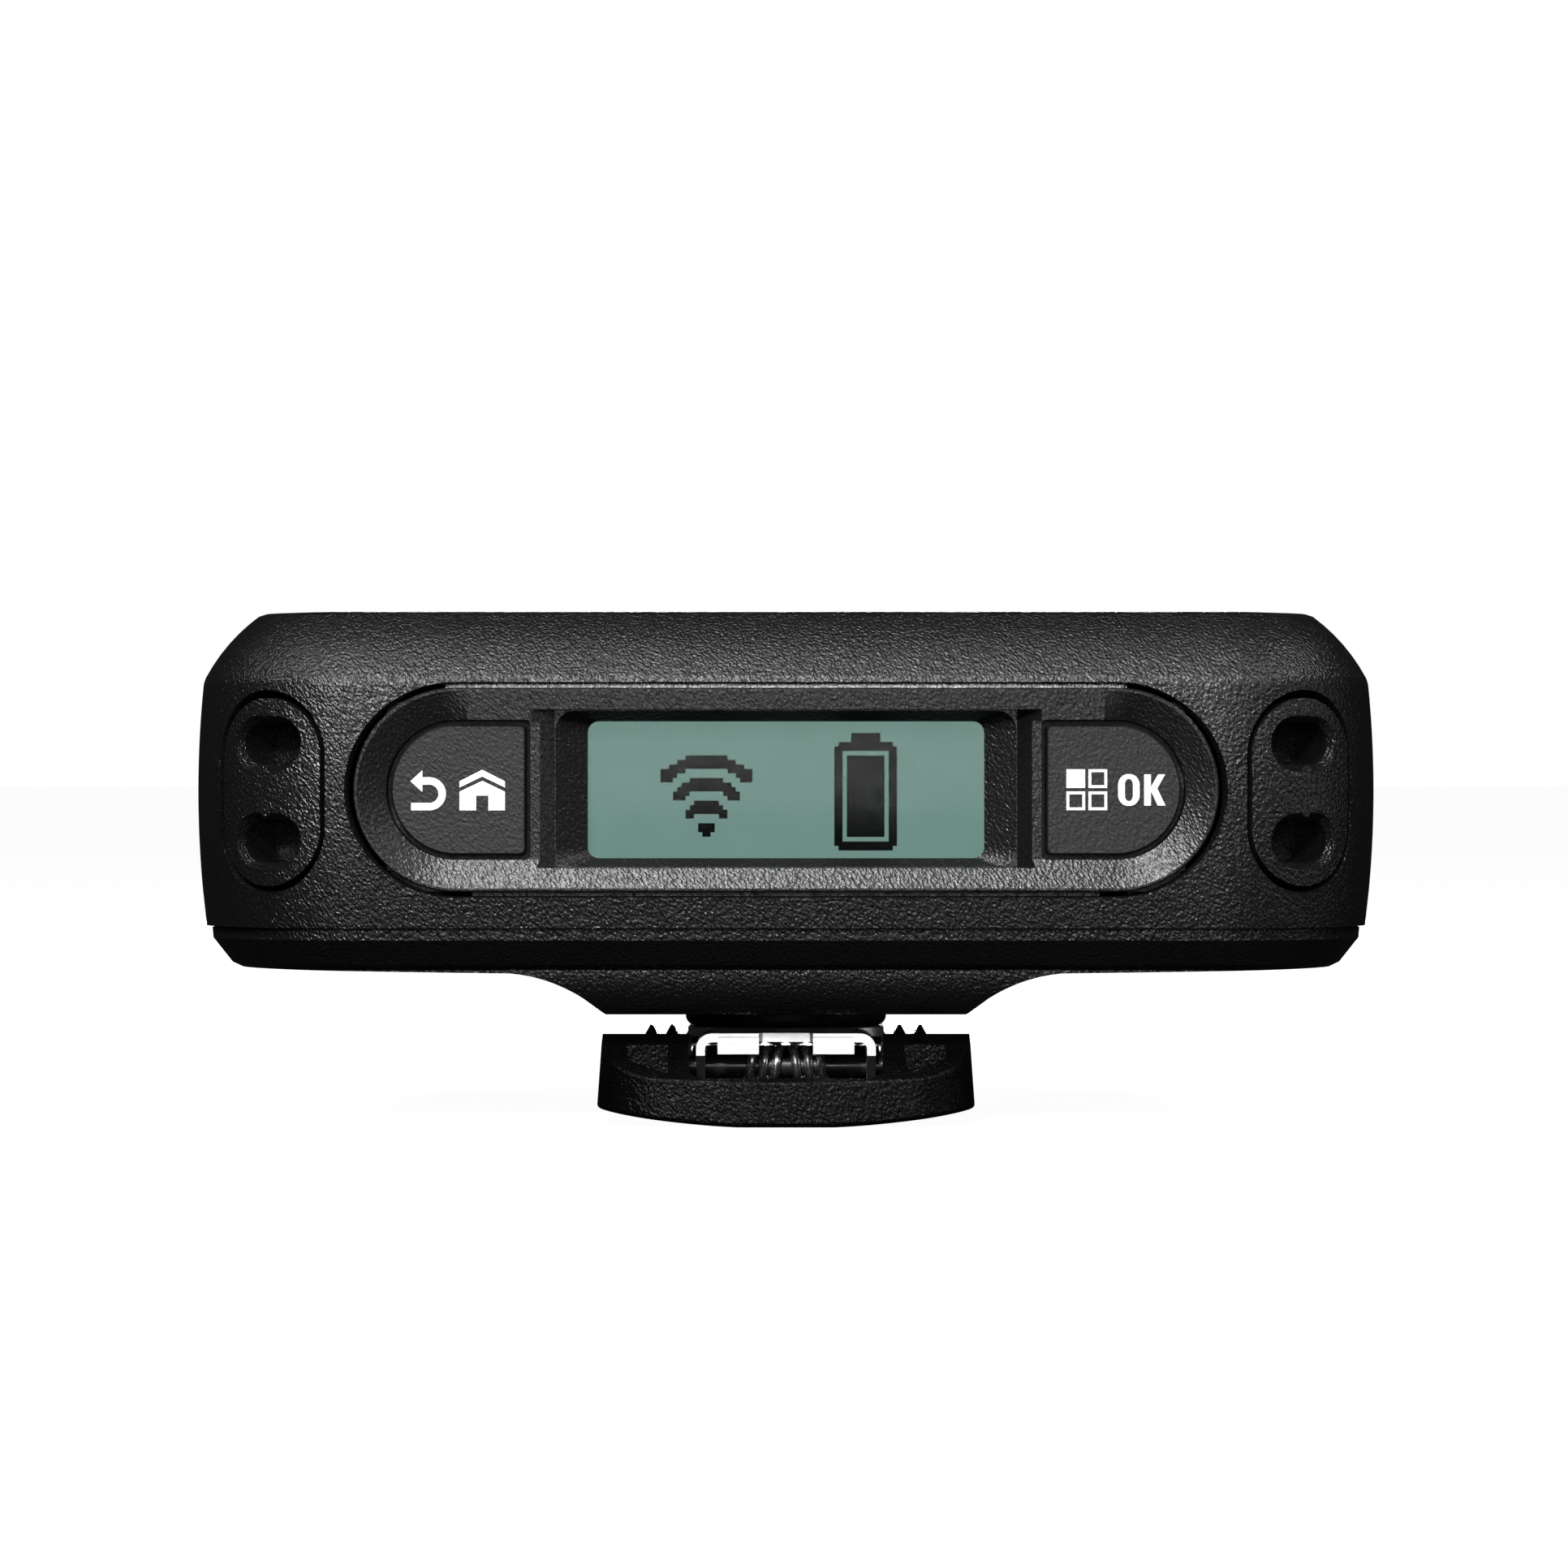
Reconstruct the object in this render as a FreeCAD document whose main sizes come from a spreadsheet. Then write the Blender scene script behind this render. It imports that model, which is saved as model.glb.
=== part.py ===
import FreeCAD, Part
import math
import os
import Sketcher

# Wireless flash trigger: a flat pocket-sized body with a display and two buttons on its front
# edge, two strap inserts on the front corners and a sprung, swivelling clip underneath.
# The front faces -Y, up is +Z, X runs across, and the clip arm stands on Z = 0.

os.makedirs("parts", exist_ok=True)
doc = FreeCAD.newDocument("flash_trigger")
sheet = doc.addObject("Spreadsheet::Sheet", "dims")

DIMENSIONS = [
    # housing and cover outline
    ("body_width", 72.4), ("body_depth", 48.0), ("corner_radius", 10.0),
    ("seam_height", 12.1), ("housing_top", 31.34), ("seam_inset", 0.46), ("barrel_radius", 65.0),
    ("kink_height", 26.7), ("kink_inset", 0.24), ("blend_radius", 1.75),
    ("shoulder_height", 27.35), ("shoulder_inset", 0.4), ("shoulder_radius", 11.3),
    ("brow_height", 31.12), ("brow_inset", 3.66), ("edge_height", 31.26), ("edge_inset", 4.1),
    ("rim_width", 6.0), ("lid_thickness", 1.6), ("wall_thickness", 1.9),
    ("wall_top", 26.4), ("wall_top_inset", 4.9),
    ("cover_top", 12.0), ("cover_inset", 0.8), ("cover_band", 11.35), ("cover_band_inset", 0.86),
    ("cover_chamfer_low", 9.85), ("cover_chamfer_inset", 2.05), ("cover_edge_low", 9.5),
    ("cover_edge_inset", 2.8), ("cover_block_low", 8.6), ("cover_floor_top", 10.9),
    ("cover_wall_inset", 2.6), ("crown_middle", 9.2), ("crown_side", 9.62), ("crown_radius", 1500.0),
    ("crown_half", 35.5),
    # pedestal under the cover
    ("pedestal_low", 6.76), ("pedestal_half", 11.12), ("pedestal_edge", 0.16),
    ("flare_start", 16.8), ("flare_top", 9.3), ("flare_radius", 9.4), ("flare_end", 12.3),
    ("flare_end_height", 7.75), ("pedestal_front", -21.25), ("pedestal_toe", -19.9),
    ("pedestal_rear", 20.6), ("pedestal_heel", 19.2), ("pedestal_hollow_half", 9.0),
    ("pedestal_hollow_front", -17.5), ("pedestal_hollow_rear", 17.0), ("pedestal_floor_top", 8.5),
    # cover screws and housing bosses
    ("screw_x", 28.4), ("screw_front_y", -9.0), ("screw_rear_y", 17.2), ("boss_radius", 2.4),
    ("pilot_radius", 0.98), ("screw_shank_radius", 0.95), ("screw_head_radius", 1.8),
    ("screw_head_height", 1.0), ("screw_recess_radius", 1.95), ("screw_recess_top", 10.75),
    ("screw_tip", 17.4), ("screw_drive_radius", 0.75),
    # gasket in the seam
    ("gasket_outer_inset", 1.15), ("gasket_inner_inset", 1.85), ("gasket_low", 11.55),
    # front panel
    ("panel_height", 20.45), ("panel_half", 26.1), ("panel_radius", 6.16), ("panel_gap", 0.27),
    ("panel_front", -24.0), ("panel_back", -21.3), ("dish_rim", 0.22), ("dish_depth", 0.52),
    ("dish_half", 24.13), ("dish_radius", 4.19),
    ("bridge_half", 19.2), ("bridge_end", 20.9), ("bridge_slope", 0.06),
    ("bridge_end_front", -23.98), ("bridge_end_high", 5.82), ("bridge_end_low", 4.08),
    ("opening_chamfer", 0.3), ("opening_chamfer_depth", 0.5), ("panel_tab_half", 19.0), ("panel_tab_front", -22.0),
    ("panel_tab_drop", 1.1), ("island_half", 15.54), ("island_foot_half", 13.97),
    ("island_step", 0.73), ("well_half", 13.96), ("well_high", 4.78), ("well_low", 4.66),
    ("well_corner", 1.15), ("window_half", 12.0), ("window_high", 4.14), ("window_low", 4.14),
    ("window_corner", 0.68), ("well_back", -22.1), ("lens_half", 12.7), ("lens_half_height", 4.72),
    ("lens_corner", 0.5), ("lens_back", -21.4),
    # display stack
    ("glass_half", 13.4), ("glass_half_height", 5.2), ("glass_front", -21.2), ("glass_back", -20.1),
    ("light_guide_back", -19.1), ("display_frame_half", 14.2), ("display_frame_half_height", 5.9),
    # buttons and switches
    ("button_outer", 23.84), ("button_inner", 15.72), ("button_radius", 3.93),
    ("button_corner", 0.3), ("button_edge", 0.11), ("rim_rounding", 0.09), ("button_front", -23.46),
    ("button_gap", 0.3), ("lip_width", 0.55),
    ("lip_front", -21.1), ("lip_back", -20.7), ("stem_radius", 1.3), ("stem_back", -20.4),
    ("button_centre", 19.9), ("plunger_radius", 0.85), ("plunger_back", -19.2),
    ("switch_front", -19.7), ("switch_half", 2.6), ("switch_bore_radius", 0.92),
    ("switch_bore_back", -18.7), ("key_board_front", -18.4), ("key_board_back", -17.6),
    ("key_board_half", 24.4), ("key_board_low", 15.5), ("key_board_high", 25.8),
    # strap inserts on the front corners
    ("lug_angle", 32.0), ("lug_half_width", 3.58), ("lug_low", 14.62), ("lug_high", 26.02),
    ("lug_gap", 0.24), ("lug_sink", 0.05), ("lug_plate_back", 8.2), ("lug_cup_half", 2.85),
    ("lug_cup_low", 15.3), ("lug_cup_high", 25.35), ("lug_cup_back", 5.4), ("slot_half", 2.15),
    ("slot_height", 2.62), ("upper_slot", 23.26), ("lower_slot", 17.33), ("slot_back", 6.0),
    ("bar_back", 8.0), ("slot_flare", 0.42), ("slot_flare_depth", 0.55),
    ("lug_chamfer", 0.35), ("lug_chamfer_depth", 1.1),
    # boards and power inside
    ("board_half", 24.5), ("board_front", -16.6), ("board_rear", 20.4), ("board_low", 14.2),
    ("board_thickness", 1.2), ("post_radius", 1.6), ("post_x", 21.5), ("post_front_y", -13.5),
    ("post_rear_y", 17.2), ("cell_half_width", 21.0), ("cell_front", -15.2), ("cell_rear", 16.0),
    ("cell_low", 22.1), ("cell_edge", 1.2), ("pad_low", 29.3), ("shield_left", -20.0),
    ("shield_right", -3.0), ("shield_front", -12.0), ("shield_rear", 3.0), ("shield_height", 2.2),
    ("shield_skin", 0.3), ("antenna_front", -7.0), ("antenna_rear", 13.0), ("antenna_low", 15.0),
    ("antenna_high", 22.0), ("antenna_thickness", 0.25),
    # sockets in the rear wall
    ("usb_x", 13.0), ("usb_half_width", 4.47), ("usb_height", 3.2), ("usb_front", 16.4),
    ("usb_rear", 23.3), ("usb_skin", 0.35), ("usb_tongue_half", 3.3), ("usb_tongue_thickness", 0.7),
    ("usb_tongue_rear", 22.4), ("usb_gap", 0.2), ("usb_floor", 17.0),
    ("jack_x", -13.0), ("jack_height", 18.6), ("jack_collar_radius", 3.1), ("jack_rear", 23.9),
    ("jack_flange_rear", 22.0), ("jack_flange_half", 3.2),
    ("jack_body_front", 8.6), ("jack_bore_radius", 1.8), ("jack_bore_length", 14.0),
    ("jack_gap", 0.15),
    # swivel under the pedestal
    ("hub_y", -3.0), ("hub_radius", 6.35), ("hub_top", 6.68), ("hub_edge", 0.6),
    ("spindle_radius", 3.2), ("spindle_top", 12.7), ("spindle_bore_radius", 3.25),
    ("tower_radius", 5.4), ("tower_top", 12.6), ("washer_radius", 4.6), ("washer_thickness", 0.5),
    ("swivel_screw_radius", 1.5), ("swivel_screw_tip", 7.6), ("swivel_head_radius", 2.7),
    ("swivel_head_height", 0.7),
    # bent steel bracket
    ("plate_top", 5.53), ("sheet_thickness", 0.54), ("bracket_half", 5.5), ("bend_radius", 0.95),
    ("bracket_front", -18.0), ("ear_rear", -11.0), ("neck_rear", -8.4), ("plate_half", 6.15),
    ("plate_front", -9.0), ("plate_rear", 1.4), ("plate_corner", 2.6), ("ear_end_radius", 1.35),
    ("flange_inner", 1.66), ("flange_outer", 4.18), ("flange_low", 4.27), ("flange_bend", 0.5),
    ("notch_depth", 0.9), ("notch_corner", 0.25), ("rivet_x", 4.2), ("rivet_y", 0.2), ("rivet_radius", 0.8),
    ("rivet_head_radius", 1.3), ("rivet_head_height", 0.45), ("rivet_top", 6.3),
    # axle and torsion springs
    ("axle_y", -14.5), ("axle_z", 3.42), ("axle_radius", 0.6), ("axle_half", 10.9),
    ("wire_radius", 0.28), ("coil_radius", 0.97), ("coil_pitch", 0.78), ("coil_turns", 2.5),
    ("coil_start", 0.43), ("leg_length", 2.9),
    # clip arm
    ("arm_half_foot", 11.62), ("arm_front", -22.6), ("arm_rear", 16.0), ("arm_nose_radius", 78.0),
    ("arm_corner_front", -18.4), ("arm_cheek_x", 7.4), ("arm_cheek_y", -22.2),
    ("arm_cheek_radius", 4.3), ("arm_tail_corner", 3.5), ("arm_draft", 4.0), ("arm_top", 5.5),
    ("arm_lip", 2.54), ("arm_slope_rear", -17.45), ("arm_shoulder_rear", -10.4),
    ("arm_shoulder_top", 5.22), ("arm_foot_radius", 0.28), ("arm_rim_chamfer", 0.1),
    ("arm_jaw_start", -4.6), ("arm_jaw_top", 3.92), ("arm_tail_top", 2.6), ("arm_tail_start", 14.4),
    ("arm_block_top", 6.5), ("arm_crown_radius", 62.0), ("arm_crown_side", 1.12),
    ("arm_crown_half", 12.1), ("recess_half", 5.95),
    ("recess_front", -21.85), ("recess_rear", 4.6), ("recess_floor", 1.85), ("recess_corner", 1.1),
    ("pocket_inner", 7.2), ("pocket_outer", 9.75), ("pocket_front", -21.3), ("pocket_rear", -18.55),
    ("pocket_cheek", -19.9), ("pocket_floor", 3.1), ("arm_bore_radius", 0.65),
    ("tooth_pitch", 1.356), ("tooth_height", 1.1), ("tooth_front", 11.2), ("tooth_rear", 14.2),
    ("tooth_count", 14), ("tooth_tip", 0.07),
]
for row_number, (alias, size) in enumerate(DIMENSIONS, start=1):
    sheet.set(f"A{row_number}", alias)
    sheet.set(f"B{row_number}", str(size))
    sheet.setAlias(f"B{row_number}", alias)
doc.recompute()

UP = FreeCAD.Vector(0, 0, 1)
SIDES = (("left", -1), ("right", 1))
PLANE_DIRECTION = {"XY_Plane": 1, "XZ_Plane": -1, "YZ_Plane": 1}


def size_of(expression):
    """The present value of an expression over the sheet."""
    return float(sheet.evalExpression(str(expression)))


def dims(text):
    """Names of sheet cells, marked with a leading @, written out as an expression."""
    return text.replace("@", "dims.")


def negative(expression):
    return f"0 - ({expression})"


def new_body(name):
    return doc.addObject("PartDesign::Body", name)


def new_sketch(body, name, plane, level="0"):
    """A sketch on one of the body's own origin planes, lifted to a world level."""
    sketch = body.newObject("Sketcher::SketchObject", name)
    origin_plane = next(item for item in body.Origin.OriginFeatures if item.Role == plane)
    sketch.AttachmentSupport = [(origin_plane, "")]
    sketch.MapMode = "FlatFace"
    sketch.setExpression("AttachmentOffset.Base.z", f"{PLANE_DIRECTION[plane]} * ({level})")
    return sketch


def arc_between(start, end, radius, turn):
    """A short arc from start to end; turn is 1 for anticlockwise and -1 for clockwise."""
    chord = end - start
    rise = math.sqrt(max(radius * radius - chord.Length ** 2 / 4, 0.0))
    left = FreeCAD.Vector(-chord.y, chord.x, 0).normalize()
    centre = (start + end) * 0.5 + left * (rise * turn)
    first, last = (start, end) if turn > 0 else (end, start)
    first_angle = math.atan2(first.y - centre.y, first.x - centre.x)
    last_angle = math.atan2(last.y - centre.y, last.x - centre.x)
    if last_angle < first_angle:
        last_angle += 2 * math.pi
    return Part.ArcOfCircle(Part.Circle(centre, UP, radius), first_angle, last_angle)


def bind(sketch, constraint, expression):
    index = sketch.addConstraint(constraint)
    sketch.setExpression(f"Constraints[{index}]", expression)


def draw_path(sketch, corners):
    """A closed path. A corner is (x, y), or (x, y, radius, turn) when an arc leaves it."""
    corners = [tuple(dims(str(item)) if index < 3 else item for index, item in enumerate(corner))
               for corner in corners]
    points = [FreeCAD.Vector(size_of(corner[0]), size_of(corner[1]), 0) for corner in corners]
    stretches = []
    for index, corner in enumerate(corners):
        following = (index + 1) % len(corners)
        start, end = points[index], points[following]
        if len(corner) == 2:
            edge = sketch.addGeometry(Part.LineSegment(start, end))
            stretches.append((edge, 1, 2))
            continue
        radius = size_of(corner[2])
        edge = sketch.addGeometry(arc_between(start, end, radius, corner[3]))
        stretches.append((edge, 1, 2) if corner[3] > 0 else (edge, 2, 1))
        half_circle = abs((end - start).Length / 2 - radius) < 1e-4
        if not half_circle:
            bind(sketch, Sketcher.Constraint("Radius", edge, radius), corner[2])
        elif abs(end.x - start.x) < 1e-6:
            bind(sketch, Sketcher.Constraint("DistanceX", -1, 1, edge, 3, start.x), corner[0])
        else:
            bind(sketch, Sketcher.Constraint("DistanceY", -1, 1, edge, 3, start.y), corner[1])
    for index, corner in enumerate(corners):
        edge, first_end, _ = stretches[index]
        previous_edge, _, last_end = stretches[index - 1]
        sketch.addConstraint(
            Sketcher.Constraint("Coincident", previous_edge, last_end, edge, first_end))
        for kind, expression, place in (("DistanceX", corner[0], points[index].x),
                                        ("DistanceY", corner[1], points[index].y)):
            bind(sketch, Sketcher.Constraint(kind, -1, 1, edge, first_end, place), expression)


def draw_circle(sketch, x, y, radius):
    x, y, radius = dims(str(x)), dims(str(y)), dims(str(radius))
    centre = FreeCAD.Vector(size_of(x), size_of(y), 0)
    edge = sketch.addGeometry(Part.Circle(centre, UP, size_of(radius)))
    bind(sketch, Sketcher.Constraint("DistanceX", -1, 1, edge, 3, centre.x), x)
    bind(sketch, Sketcher.Constraint("DistanceY", -1, 1, edge, 3, centre.y), y)
    bind(sketch, Sketcher.Constraint("Radius", edge, size_of(radius)), radius)


def draw(sketch, outlines):
    """Each outline is a list of corners, or a (x, y, radius) circle."""
    for outline in outlines:
        if isinstance(outline, tuple):
            draw_circle(sketch, *outline)
        else:
            draw_path(sketch, outline)


def slab(body, name, plane, outlines, low, high, cut=False):
    """Material added, or cut away, between two world levels along the plane's normal."""
    low, high = dims(str(low)), dims(str(high))
    sketch = new_sketch(body, f"{name}_outline", plane, f"(({low}) + ({high})) / 2")
    draw(sketch, outlines)
    feature = body.newObject("PartDesign::Pocket" if cut else "PartDesign::Pad", name)
    feature.Profile = sketch
    feature.SideType = "Symmetric"
    feature.setExpression("Length", f"({high}) - ({low})")
    body.Tip = feature
    return feature


def loft(body, name, plane, first, first_level, second, second_level, cut=False):
    """A tapering solid, or hollow, between two outlines at two world levels."""
    near = new_sketch(body, f"{name}_near", plane, dims(str(first_level)))
    draw(near, [first])
    far = new_sketch(body, f"{name}_far", plane, dims(str(second_level)))
    draw(far, [second])
    kind = "PartDesign::SubtractiveLoft" if cut else "PartDesign::AdditiveLoft"
    feature = body.newObject(kind, name)
    feature.Profile = near
    feature.Sections = [far]
    feature.Ruled = True
    body.Tip = feature
    return feature


def dress_edges(body, name, kind, size, wanted):
    """A fillet or chamfer on those edges of the body so far whose bounding boxes are wanted."""
    doc.recompute()
    base = body.Tip
    feature = body.newObject(f"PartDesign::{kind}", name)
    feature.Base = (base, [f"Edge{number}" for number, edge in enumerate(base.Shape.Edges, start=1)
                           if wanted(edge.BoundBox)])
    feature.setExpression("Radius" if kind == "Fillet" else "Size", dims(f"@{size}"))
    body.Tip = feature
    return feature


def rectangle(left, right, low, high):
    return [(left, low), (right, low), (right, high), (left, high)]


def rounded(left, right, low, high, radius):
    """A rectangle with four rounded corners."""
    return [(f"{right} - ({radius})", low, radius, 1), (right, f"{low} + ({radius})"),
            (right, f"{high} - ({radius})", radius, 1), (f"{right} - ({radius})", high),
            (f"{left} + ({radius})", high, radius, 1), (left, f"{high} - ({radius})"),
            (left, f"{low} + ({radius})", radius, 1), (f"{left} + ({radius})", low)]


def pill(half_length, radius, height):
    """A lying pill centred on X = 0 at a height."""
    low, high = f"({height}) - ({radius})", f"({height}) + ({radius})"
    straight = f"({half_length}) - ({radius})"
    return [(straight, low, radius, 1), (straight, high),
            (f"0 - ({straight})", high, radius, 1), (f"0 - ({straight})", low)]


def standing_pill(half_width, low, high):
    """A standing pill centred on X = 0."""
    return [(f"0 - ({half_width})", f"({low}) + ({half_width})", half_width, 1),
            (half_width, f"({low}) + ({half_width})"),
            (half_width, f"({high}) - ({half_width})", half_width, 1),
            (f"0 - ({half_width})", f"({high}) - ({half_width})")]


def body_outline(inset):
    """The plan of the body, stepped in by an inset."""
    across, along = f"(@body_width / 2 - {inset})", f"(@body_depth / 2 - {inset})"
    return rounded(f"0 - {across}", across, f"0 - {along}", along, f"@corner_radius - {inset}")


def block(name, left, right, front, rear, low, high):
    """A plain box between six world levels."""
    box = doc.addObject("Part::Box", name)
    levels = [dims(str(item)) for item in (left, right, front, rear, low, high)]
    for side, axis, first, last in (("Length", "x", 0, 1), ("Width", "y", 2, 3),
                                    ("Height", "z", 4, 5)):
        box.setExpression(side, f"({levels[last]}) - ({levels[first]})")
        box.setExpression(f"Placement.Base.{axis}", levels[first])
    return box


def rod(name, axis, radius, start, length, first=0, second=0):
    """A cylinder along X, Y or Z; first and second are its other two world coordinates."""
    cylinder = doc.addObject("Part::Cylinder", name)
    start, length, first, second = (dims(str(item)) for item in (start, length, first, second))
    turns = {"X": FreeCAD.Rotation(FreeCAD.Vector(0, 1, 0), 90),
             "Y": FreeCAD.Rotation(FreeCAD.Vector(1, 0, 0), -90), "Z": FreeCAD.Rotation()}
    order = {"X": (start, first, second), "Y": (first, start, second), "Z": (first, second, start)}
    cylinder.Placement = FreeCAD.Placement(FreeCAD.Vector(), turns[axis])
    for letter, expression in zip("xyz", order[axis]):
        cylinder.setExpression(f"Placement.Base.{letter}", expression)
    cylinder.setExpression("Radius", dims(str(radius)))
    cylinder.setExpression("Height", length)
    return cylinder


def fuse(name, pieces):
    result = doc.addObject("Part::MultiFuse", name)
    result.Shapes = pieces
    result.Refine = True
    return result


def cut(name, base, tool):
    result = doc.addObject("Part::Cut", name)
    result.Base = base
    result.Tool = tool
    result.Refine = True
    return result


def common(name, pieces):
    result = doc.addObject("Part::MultiCommon", name)
    result.Shapes = pieces
    return result


nodes = []


def node(item, name):
    """Names a finished piece and lists it for writing out."""
    item.Label = name
    nodes.append(item)
    return item


def edge_sweep(body, name, corners):
    """Carries an edge profile, drawn on the right-hand side, once round the body's plan."""
    path = new_sketch(body, f"{name}_path", "XY_Plane")
    plan = body_outline("0")
    across = "(@body_width / 2)"
    draw(path, [[(across, "0")] + plan[2:] + plan[:2]])
    profile = new_sketch(body, f"{name}_profile", "XZ_Plane")
    draw(profile, [[(f"{across} - {corner[0]}",) + corner[1:] for corner in corners]])
    sweep = body.newObject("PartDesign::AdditivePipe", name)
    sweep.Profile = profile
    sweep.Spine = (path, [])
    body.Tip = sweep
    return sweep


# Upper housing: a swept edge, a lid, screw bosses and the openings.
housing = new_body("housing_form")
edge_sweep(housing, "housing_edge", [
    ("@seam_inset", "@seam_height", "@barrel_radius", 1),
    ("@kink_inset", "@kink_height", "@blend_radius", 1),
    ("@shoulder_inset", "@shoulder_height", "@shoulder_radius", 1),
    ("@brow_inset", "@brow_height"),
    ("@edge_inset", "@edge_height"),
    ("@rim_width", "@housing_top"),
    ("@rim_width", "@housing_top - @lid_thickness"),
    ("@wall_top_inset", "@housing_top - @lid_thickness"),
    ("@wall_thickness", "@wall_top"),
    ("@wall_thickness", "@seam_height"),
])
slab(housing, "lid", "XY_Plane", [body_outline("@rim_width")],
     "@housing_top - @lid_thickness", "@housing_top")
screw_places = [(f"{side} * @screw_x", y) for side in (-1, 1)
                for y in ("@screw_front_y", "@screw_rear_y")]
slab(housing, "bosses", "XY_Plane", [(x, y, "@boss_radius") for x, y in screw_places],
     "@seam_height", "@housing_top - @lid_thickness / 2")
slab(housing, "pilots", "XY_Plane", [(x, y, "@pilot_radius") for x, y in screw_places],
     "@seam_height - 1", "@screw_tip + 0.6", cut=True)
slab(housing, "panel_opening", "XZ_Plane",
     [pill("@panel_half + @panel_gap", "@panel_radius + @panel_gap", "@panel_height")],
     "@panel_front - 2", "@panel_front + 3", cut=True)
loft(housing, "panel_opening_edge", "XZ_Plane",
     pill("@panel_half + @panel_gap + @opening_chamfer",
          "@panel_radius + @panel_gap + @opening_chamfer", "@panel_height"), "@panel_front - 0.1",
     pill("@panel_half + @panel_gap", "@panel_radius + @panel_gap", "@panel_height"),
     "@panel_front - 0.1 + @opening_chamfer_depth", cut=True)
usb_low = "@board_low + @board_thickness"
slab(housing, "socket_openings", "XZ_Plane",
     [rounded("@usb_x - @usb_half_width - @usb_gap", "@usb_x + @usb_half_width + @usb_gap",
              f"{usb_low} - @usb_gap", f"{usb_low} + @usb_height + @usb_gap", "1.6"),
      ("@jack_x", "@jack_height", "@jack_collar_radius + @jack_gap")],
     "@body_depth / 2 - 3", "@body_depth / 2 + 2", cut=True)


def place_on_corner(item, side):
    """Turns a piece made round the Z axis, facing -Y, onto one front corner of the body."""
    item.Placement = FreeCAD.Placement(FreeCAD.Vector(), FreeCAD.Rotation(UP, side))
    item.setExpression("Placement.Base.x", dims(f"{side} * (@body_width / 2 - @corner_radius)"))
    item.setExpression("Placement.Base.y", dims("0 - (@body_depth / 2 - @corner_radius)"))
    item.setExpression("Placement.Rotation.Angle", dims("@lug_angle * 1 deg"))
    item.setExpression("Placement.Rotation.Axis.z", str(side))


lug_holes = []
for side_name, side in SIDES:
    hole = new_body(f"lug_hole_{side_name}")
    slab(hole, f"lug_hole_{side_name}_prism", "XZ_Plane",
         [standing_pill("@lug_half_width + @lug_gap", "@lug_low - @lug_gap",
                        "@lug_high + @lug_gap")],
         "0 - @corner_radius - 2", "0 - @corner_radius + 3.2")
    loft(hole, f"lug_hole_{side_name}_edge", "XZ_Plane",
         standing_pill("@lug_half_width + @lug_gap + @lug_chamfer",
                       "@lug_low - @lug_gap - @lug_chamfer",
                       "@lug_high + @lug_gap + @lug_chamfer"), "0 - @corner_radius - 0.1",
         standing_pill("@lug_half_width + @lug_gap", "@lug_low - @lug_gap",
                       "@lug_high + @lug_gap"), "0 - @corner_radius - 0.1 + @lug_chamfer_depth")
    place_on_corner(hole, side)
    lug_holes.append(hole)
node(cut("upper_housing", housing, fuse("lug_holes", lug_holes)), "upper_housing")

# Strap inserts: a curved face plate with two slots joined behind a bar.
for side_name, side in SIDES:
    barrel = new_body(f"lug_barrel_{side_name}")
    profile = new_sketch(barrel, f"lug_barrel_profile_{side_name}", "XZ_Plane")
    draw(profile, [[
        ("0", "@seam_height"),
        ("@corner_radius - @seam_inset - @lug_sink", "@seam_height", "@barrel_radius", 1),
        ("@corner_radius - @kink_inset - @lug_sink", "@kink_height"),
        ("0", "@kink_height"),
    ]])
    turned = barrel.newObject("PartDesign::Revolution", f"lug_barrel_turn_{side_name}")
    turned.Profile = profile
    turned.ReferenceAxis = (profile, ["V_Axis"])
    turned.Angle = 360
    plate = new_body(f"lug_plate_{side_name}")
    slab(plate, f"lug_face_{side_name}", "XZ_Plane",
         [standing_pill("@lug_half_width", "@lug_low", "@lug_high")],
         "0 - @corner_radius - 1", "0 - @lug_plate_back")
    slab(plate, f"lug_cup_{side_name}", "XZ_Plane",
         [standing_pill("@lug_cup_half", "@lug_cup_low", "@lug_cup_high")],
         "0 - @lug_plate_back", "0 - @lug_cup_back")
    hollow = new_body(f"lug_hollow_{side_name}")
    slab(hollow, f"lug_channel_{side_name}", "XZ_Plane",
         [rounded("0 - @slot_half", "@slot_half", "@lower_slot - @slot_height / 2",
                  "@upper_slot + @slot_height / 2", "@slot_height / 2 - 0.01")],
         "0 - @bar_back", "0 - @slot_back")
    for level in ("upper", "lower"):
        half = "@slot_height / 2"
        slot = [(f"@slot_half - {half}", f"@{level}_slot - {half}", half, 1),
                (f"@slot_half - {half}", f"@{level}_slot + {half}"),
                (f"{half} - @slot_half", f"@{level}_slot + {half}", half, 1),
                (f"{half} - @slot_half", f"@{level}_slot - {half}")]
        wide = "@slot_height / 2 + @slot_flare"
        mouth = [(f"@slot_half - {half}", f"@{level}_slot - ({wide})", wide, 1),
                 (f"@slot_half - {half}", f"@{level}_slot + {wide}"),
                 (f"{half} - @slot_half", f"@{level}_slot + {wide}", wide, 1),
                 (f"{half} - @slot_half", f"@{level}_slot - ({wide})")]
        slab(hollow, f"lug_{level}_slot_{side_name}", "XZ_Plane", [slot],
             "0 - @corner_radius - 1", "0 - @slot_back")
        loft(hollow, f"lug_{level}_mouth_{side_name}", "XZ_Plane",
             mouth, "0 - @corner_radius", slot, "0 - @corner_radius + @slot_flare_depth + 0.35")
    form = common(f"lug_form_{side_name}", [barrel, plate])
    insert = cut(f"lug_insert_{side_name}", form, hollow)
    place_on_corner(insert, side)
    node(insert, f"lug_insert_{side_name}")

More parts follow.
